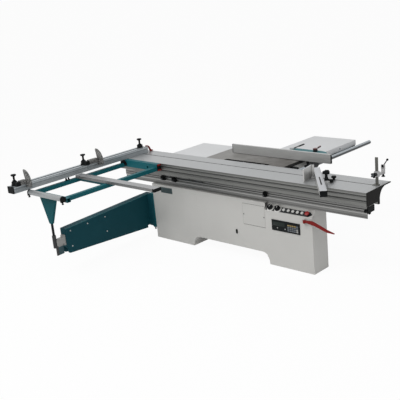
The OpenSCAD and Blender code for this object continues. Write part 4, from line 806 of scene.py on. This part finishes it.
# painted reflection: the guide bar's steel is dark below its parting height and pale above it
paint(nodes["guide_bar"], split("guideSteelPaintedReflection", 2, 0.8105, (0.05, 0.056, 0.062), (0.47, 0.51, 0.54), 0.32, 0.3))
paint(nodes["rip_carrier"], split("carrierPaint", 2, 0.8745, (0.012, 0.013, 0.014), (0.012, 0.13, 0.15), 0.42, 0.15))
paint(nodes["rip_lever"], split("leverSteel", 1, 0.2835, (0.5, 0.51, 0.51), (0.014, 0.015, 0.016), 0.4, 0.3))
paint(nodes["bar_lever"], split("leverBlack", 2, 0.966, (0.014, 0.015, 0.016), (0.1, 0.016, 0.016), 0.4, 0.3))
paint(nodes["clamp_arm"], split("clampPaint", 1, -0.2375, (0.008, 0.009, 0.0095), (0.5, 0.5, 0.5), 0.45, 0.2))
paint(nodes["clamp_post"], coated("postSteel", (0.13, 0.13, 0.118), (0.09, 0.09, 0.08), 0.45, 0.4, 40, (30, 30, 3)))

knobStar = {"x": 1.585, "back": -0.271, "front": -0.2875, "z": 0.9603, "lobes": 5, "radius": 0.0195, "wave": 0.0045}
star = []
for angle in range(0, 360, 9):
    a = math.radians(angle)
    reach = knobStar["radius"] + knobStar["wave"] * math.cos(knobStar["lobes"] * a)
    star.append((reach * math.cos(a), reach * math.sin(a)))
starGrip = slab(star, 0.017, 0.004, (knobStar["x"], knobStar["back"], knobStar["z"]), frontTurn)
dress(starGrip, "clampStar", "clamp_head", black)
starCap = turned(
    ((0, 0.011), (0.003, 0.011), (0.005, 0.008), (0.0055, 0.004)),
    (knobStar["x"], knobStar["front"], knobStar["z"]), toFront, 20)
dress(starCap, "clampStarCap", "clamp_head", darkSteel)

slotPlace = (1.1830848, -0.25, 0.8585)
slotKnob = turned(
    ((0, 0.0065), (0.0122, 0.0065), (0.0124, 0.011), (0.024, 0.011), (0.026, 0.017), (0.029, 0.0215), (0.040, 0.0215),
     (0.044, 0.019), (0.0455, 0.010)), slotPlace, sides=28)
dress(slotKnob, "slotGrip", "slot_grip", black)
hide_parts("slot_knob")
print("table side dressed")


def mitreBlock(name, low, high, edge, material):
    # A rounded block placed along the mitre fence's bar
    piece = block(low, high, edge)
    piece.rotation_euler = (0, 0, mitre["turn"])
    piece.location = (mitre["x"], mitre["y"], 0)
    return dress(piece, name, "mitre", material)


# painted shade: a thin dark strip on the bar's top stands for the shade in its slot
mitreBlock("mitreSlotShade", (0.16, -0.006, mitre["top"] - 0.002), (0.40, 0.006, mitre["top"] + 0.0008), 0.0003, paintedSeamShade)
mitreBlock("mitreEdge", (-0.155, 0.0225, mitre["top"] - 0.001), (0.575, 0.0265, mitre["top"] + 0.0035), 0.001,
           mitreMetal)
mitreBlock("mitreWeb", (-0.0235, -0.0475, 0.8712), (-0.0155, -0.0285, 0.9825), 0.001, mitreMetal)
grip = {"x": 1.1665645, "y": -0.3372402, "z": 0.8715}
handleStem = turned(
    ((0, 0.0075), (0.0165, 0.0075), (0.0167, 0.0185), (0.030, 0.0185), (0.034, 0.015), (0.046, 0.0125),
     (0.070, 0.0125), (0.074, 0.010)),
    (grip["x"], grip["y"], grip["z"]), sides=26)
dress(handleStem, "mitreHandle", "mitre_grip", black)
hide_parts("mitre_handle")
for name, low, high, turn in (
    ("mitreHandleBar", (-0.030, -0.0125, 0.940), (0.030, 0.0125, 0.966), 0.3),
    ("mitreHandleTop", (-0.012, -0.011, 0.960), (0.026, 0.011, 0.9755), 0.3),
    ("mitreWing", (0.022, -0.0105, 0.8715), (0.064, 0.0105, 0.899), 0.1),
):
    wing = block(low, high, 0.006, 3)
    wing.rotation_euler = (0, 0, turn)
    wing.location = (grip["x"], grip["y"], 0)
    dress(wing, name, "mitre" if name == "mitreWing" else "mitre_grip", black)
print("mitre fence dressed")

deskUp = Vector((0, -math.sin(desk["tilt"]), math.cos(desk["tilt"])))
stopGrip = turned(
    ((-0.004, 0.0055), (0.009, 0.0055), (0.0095, 0.0125), (0.011, 0.0190), (0.014, 0.0205), (0.021, 0.0205),
     (0.025, 0.0180), (0.027, 0.0125), (0.0278, 0.006)),
    (desk["stopX"], -desk["y"], desk["z"]), deskUp, 32)
dress(stopGrip, "stopGrip", "emergency_stop", finishes["red_plastic"])
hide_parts("stop_button")
cheek = slab(
    ((-0.3752, 0.5288), (-0.3000, 0.5288), (-0.3000, 0.5955), (-0.3250, 0.5955), (-0.3250, 0.5692),
     (-0.3752, 0.5318)), 0.0045, 0.0008, origin, sideTurn)
for i, cheek in enumerate(spread(cheek, [(x, 0, 0) for x in desk["cheeks"]])):
    dress(cheek, f"deskCheek{i + 1}", "frame", finishes["grey_paint"])
feet = [Vector((x, -desk["y"], desk["z"])) for x in desk["knobs"]]
knobs = spread(turned(
    ((0.0005, 0.006), (0.0058, 0.006), (0.006, 0.0248), (0.010, 0.0262), (0.026, 0.0255), (0.0295, 0.0235),
     (0.0305, 0.0195), (0.0305, 0.006)), origin, deskUp, 32), feet)
rings = spread(turned(
    ((-0.0005, 0.0305), (0.003, 0.0305), (0.0048, 0.0285), (0.005, 0.008)), origin, deskUp, 36), feet)
marks = spread(
    block((-0.0022, -0.004, 0), (0.0022, 0.0185, 0.0018), 0.0006), [foot + deskUp * desk["markUp"] for foot in feet])
for i, turn in enumerate(desk["turns"]):
    dress(knobs[i], f"selectorGrip{i + 1}", f"selector_{i + 1}", finishes["black_plastic"])
    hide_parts(f"selector_knob_{i + 1}")
    dress(rings[i], f"selectorRing{i + 1}", "frame", finishes["white_plastic"])
    axis = Matrix.Rotation(desk["tilt"], 4, "X") @ Matrix.Rotation(turn, 4, "Z")
    marks[i].rotation_euler = axis.to_euler()
    dress(marks[i], f"selectorMark{i + 1}", f"selector_{i + 1}", finishes["white_plastic"])
print("desk finished")

softEdges = {
    "base_shell": 0.0022, "saw_cabinet": 0.002, "arm_bracket": 0.002, "swing_arm": 0.003,
    "lower_beam": 0.001, "table_profile": 0.001, "main_table": 0.002, "rear_extension": 0.003,
    "right_extension": 0.003, "bar_brackets": 0.0015, "outrigger_beam": 0.002, "outrigger_frame": 0.003,
    "support_bar": 0.002, "leg_bracket": 0.002,
    "fence_profile": 0.001, "rip_fence_bar": 0.001, "rip_carrier": 0.004, "rip_lever": 0.002, "bar_lever": 0.002,
    "mitre_bar": 0.0015, "clamp_post": 0.0015, "clamp_arm": 0.002, "clamp_lever": 0.0015, "knee_lever": 0.003,
    "display_unit": 0.0015, "guide_bar": 0.002, "arm_extension": 0.002,
}
softening = {"flat": 1, "sharp": 40, "smooth": 50, "segments": 2}  # angles in degrees
fenceCut = {"point": (fenceMiddle, -0.1405, 0.9), "way": (1, 1, 0)}


def cutFence():
    # The fence's end is cut off at 45 degrees behind its red tip
    bpy.ops.mesh.select_all(action="SELECT")
    bpy.ops.mesh.bisect(plane_co=fenceCut["point"], plane_no=fenceCut["way"], clear_outer=True, use_fill=True)


def soften(node, width):
    # A copy of the bare shape with its sharp edges broken, shown in its place
    words = node.split("_")
    name = words[0] + "".join(word.title() for word in words[1:]) + "Shown"
    piece = bpy.data.objects.new(name, nodes[node].data.copy())
    bpy.context.scene.collection.objects.link(piece)
    editing(piece)
    bpy.ops.mesh.select_all(action="SELECT")
    bpy.ops.mesh.remove_doubles(threshold=0.00001)
    bpy.ops.mesh.dissolve_limited(angle_limit=math.radians(softening["flat"]))
    if node == "fence_profile":
        cutFence()
    bpy.ops.object.mode_set(mode="OBJECT")
    edge = piece.modifiers.new("brokenEdge", "BEVEL")
    edge.width = width
    edge.segments = softening["segments"]
    edge.limit_method = "ANGLE"
    edge.angle_limit = math.radians(softening["sharp"])
    bpy.ops.object.modifier_apply(modifier=edge.name)
    settle(piece, softening["smooth"])
    level = piece.modifiers.new("evenShade", "WEIGHTED_NORMAL")
    level.keep_sharp = True
    bpy.context.view_layer.objects.active = piece
    bpy.ops.object.modifier_apply(modifier=level.name)
    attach(piece, nodes[node]["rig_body"])
    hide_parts(node)


for node, width in softEdges.items():
    soften(node, width)
rail = {"place": (0.549, 1.088, 0.7912), "long": 0.676, "bolt": (0.5598, 0.80, 0.843)}
edgeRail = slab(
    [(-0.022, 0.0198), (0, 0.0198), (0, 0), (0.006, 0), (0.006, 0.0246), (-0.022, 0.0246)],
    rail["long"], 0.0012, rail["place"], frontTurn)
dress(edgeRail, "extensionRail", "frame", coated(
    "railPaint", (0.21, 0.25, 0.27), (0.17, 0.205, 0.225), 0.4, grain=300, bump=0.04, shine=0.3))
railBolt = turned(((0, 0.007), (0.003, 0.007), (0.004, 0.0055), (0.006, 0.003)), rail["bolt"], (1, 0, 0), 6)
dress(railBolt, "extensionBolt", "frame", darkSteel)
print("edges softened")

door = {
    "low": (-0.40, 0.3895, 0.13), "high": (0.40, 0.3955, 0.68), "face": 0.3965, "louvres": 7, "first": 0.20,
    "step": 0.034, "louvreWide": 0.30, "latch": (0.345, 0.42), "hinges": (0.22, 0.59),
}
doorPlate = block(door["low"], door["high"], 0.0025)
editing(doorPlate)
pick(doorPlate, lambda middle, way: way.y > 0.9)
bpy.ops.mesh.inset(thickness=0.018)
bpy.ops.transform.translate(value=(0, 0.002, 0))
dress(doorPlate, "backDoor", "frame", finishes["grey_paint"])
louvreSide = [(0, 0), (0.010, 0.003), (0.011, 0.006), (0.004, 0.016), (0, 0.018)]
louvre = slab(louvreSide, door["louvreWide"], 0.001, (-door["louvreWide"] / 2, door["face"], door["first"]), sideTurn)
for i, louvre in enumerate(spread(louvre, [(0, 0, i * door["step"]) for i in range(door["louvres"])])):
    dress(louvre, f"backLouvre{i + 1}", "frame", finishes["grey_paint"])
turnLatch = turned(
    ((0, 0.019), (0.004, 0.019), (0.006, 0.016), (0.006, 0.009), (0.004, 0.008), (0.004, 0.003)),
    (door["latch"][0], door["face"], door["latch"][1]), (0, 1, 0), 28)
dress(turnLatch, "backLatch", "frame", finishes["black_plastic"])
knuckle = turned(((0, 0.006), (0.002, 0.008), (0.068, 0.008), (0.07, 0.006)), (-0.407, 0.396, -0.035), sides=20)
for i, knuckle in enumerate(spread(knuckle, [(0, 0, height) for height in door["hinges"]])):
    dress(knuckle, f"backHinge{i + 1}", "frame", darkSteel)
print("cabinet back fitted")

studio = {
    "floor": 600, "floorTone": (0.86, 0.86, 0.86, 1), "glow": 0.95, "sky": 0.42,
    "lamps": (
        ("keyLight", (-1.5, -5.0, 6.5), (0.2, -0.4, 0.5), 330, 5.0),
        ("fillLight", (6.0, -2.5, 4.5), (0.2, 0.0, 0.6), 60, 4.0),
    ),
}


def makeStage():
    # A white ground that glows for the camera, an even white sky and two soft lamps
    white, tree, shader, place = newMaterial("paleFloor")
    tree.nodes.remove(shader)
    path = tree.nodes.new("ShaderNodeLightPath")
    seen = Field(path.outputs["Is Camera Ray"])
    seen = seen.maths("MAXIMUM", Field(path.outputs["Is Glossy Ray"]))
    matte = seen.add("ShaderNodeBsdfDiffuse", {"Color": studio["floorTone"]})
    glow = seen.add("ShaderNodeEmission", {"Color": (1, 1, 1, 1), "Strength": 1.0})
    mixed = seen.add("ShaderNodeMixShader", {0: seen * studio["glow"], 1: matte, 2: glow})
    join(tree, mixed, tree.nodes["Material Output"].inputs["Surface"])
    bpy.ops.object.select_all(action="DESELECT")
    bpy.ops.mesh.primitive_plane_add(size=studio["floor"], location=(0, 0, -0.001))
    floor = bpy.context.object
    floor.name = "floor"
    paint(floor, white)
    floor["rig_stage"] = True

    world = bpy.data.worlds.new("studio")
    bpy.context.scene.world = world
    world.use_nodes = True
    tree = world.node_tree
    path = tree.nodes.new("ShaderNodeLightPath")
    direct = Field(path.outputs["Is Camera Ray"])
    for other in ("Is Glossy Ray", "Is Transmission Ray"):
        direct = direct.maths("MAXIMUM", Field(path.outputs[other]))
    join(tree, direct.ramp(0, 1, studio["sky"], 1.0), tree.nodes["Background"].inputs["Strength"])
    tree.nodes["Background"].inputs["Color"].default_value = (1, 1, 1, 1)

    for name, place, aim, power, size in studio["lamps"]:
        bpy.ops.object.light_add(type="AREA", location=place)
        lamp = bpy.context.object
        lamp.name = name
        lamp.data.energy = power
        lamp.data.size = size
        lamp.rotation_euler = (Vector(aim) - Vector(place)).to_track_quat("-Z", "Y").to_euler()


view = {
    "turn": math.radians(44.8212), "rise": math.radians(16.7794), "lean": math.radians(-5.5636),
    "place": (4.6636, -5.3971, 2.6405), "lens": 66.91, "sensor": 36, "shift": (0.0008, 0.0014),
}


def makeCamera():
    # The camera fitted to the photograph's straight edges
    turn, rise, lean = view["turn"], view["rise"], view["lean"]
    back = Vector((math.sin(turn) * math.cos(rise), -math.cos(turn) * math.cos(rise), math.sin(rise)))
    side = Vector((math.cos(turn), math.sin(turn), 0))
    up = back.cross(side)
    right = math.cos(lean) * side + math.sin(lean) * up
    above = math.cos(lean) * up - math.sin(lean) * side
    axes = Matrix((right, above, back)).transposed()
    bpy.ops.object.camera_add(location=view["place"], rotation=axes.to_euler())
    camera = bpy.context.object
    camera.name = "photoCamera"
    camera.data.lens = view["lens"]
    camera.data.sensor_width = view["sensor"]
    camera.data.shift_x, camera.data.shift_y = view["shift"]
    bpy.context.scene.camera = camera


makeStage()
makeCamera()
bpy.context.scene.view_settings.view_transform = "Standard"
print("stage and camera made")

low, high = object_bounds()
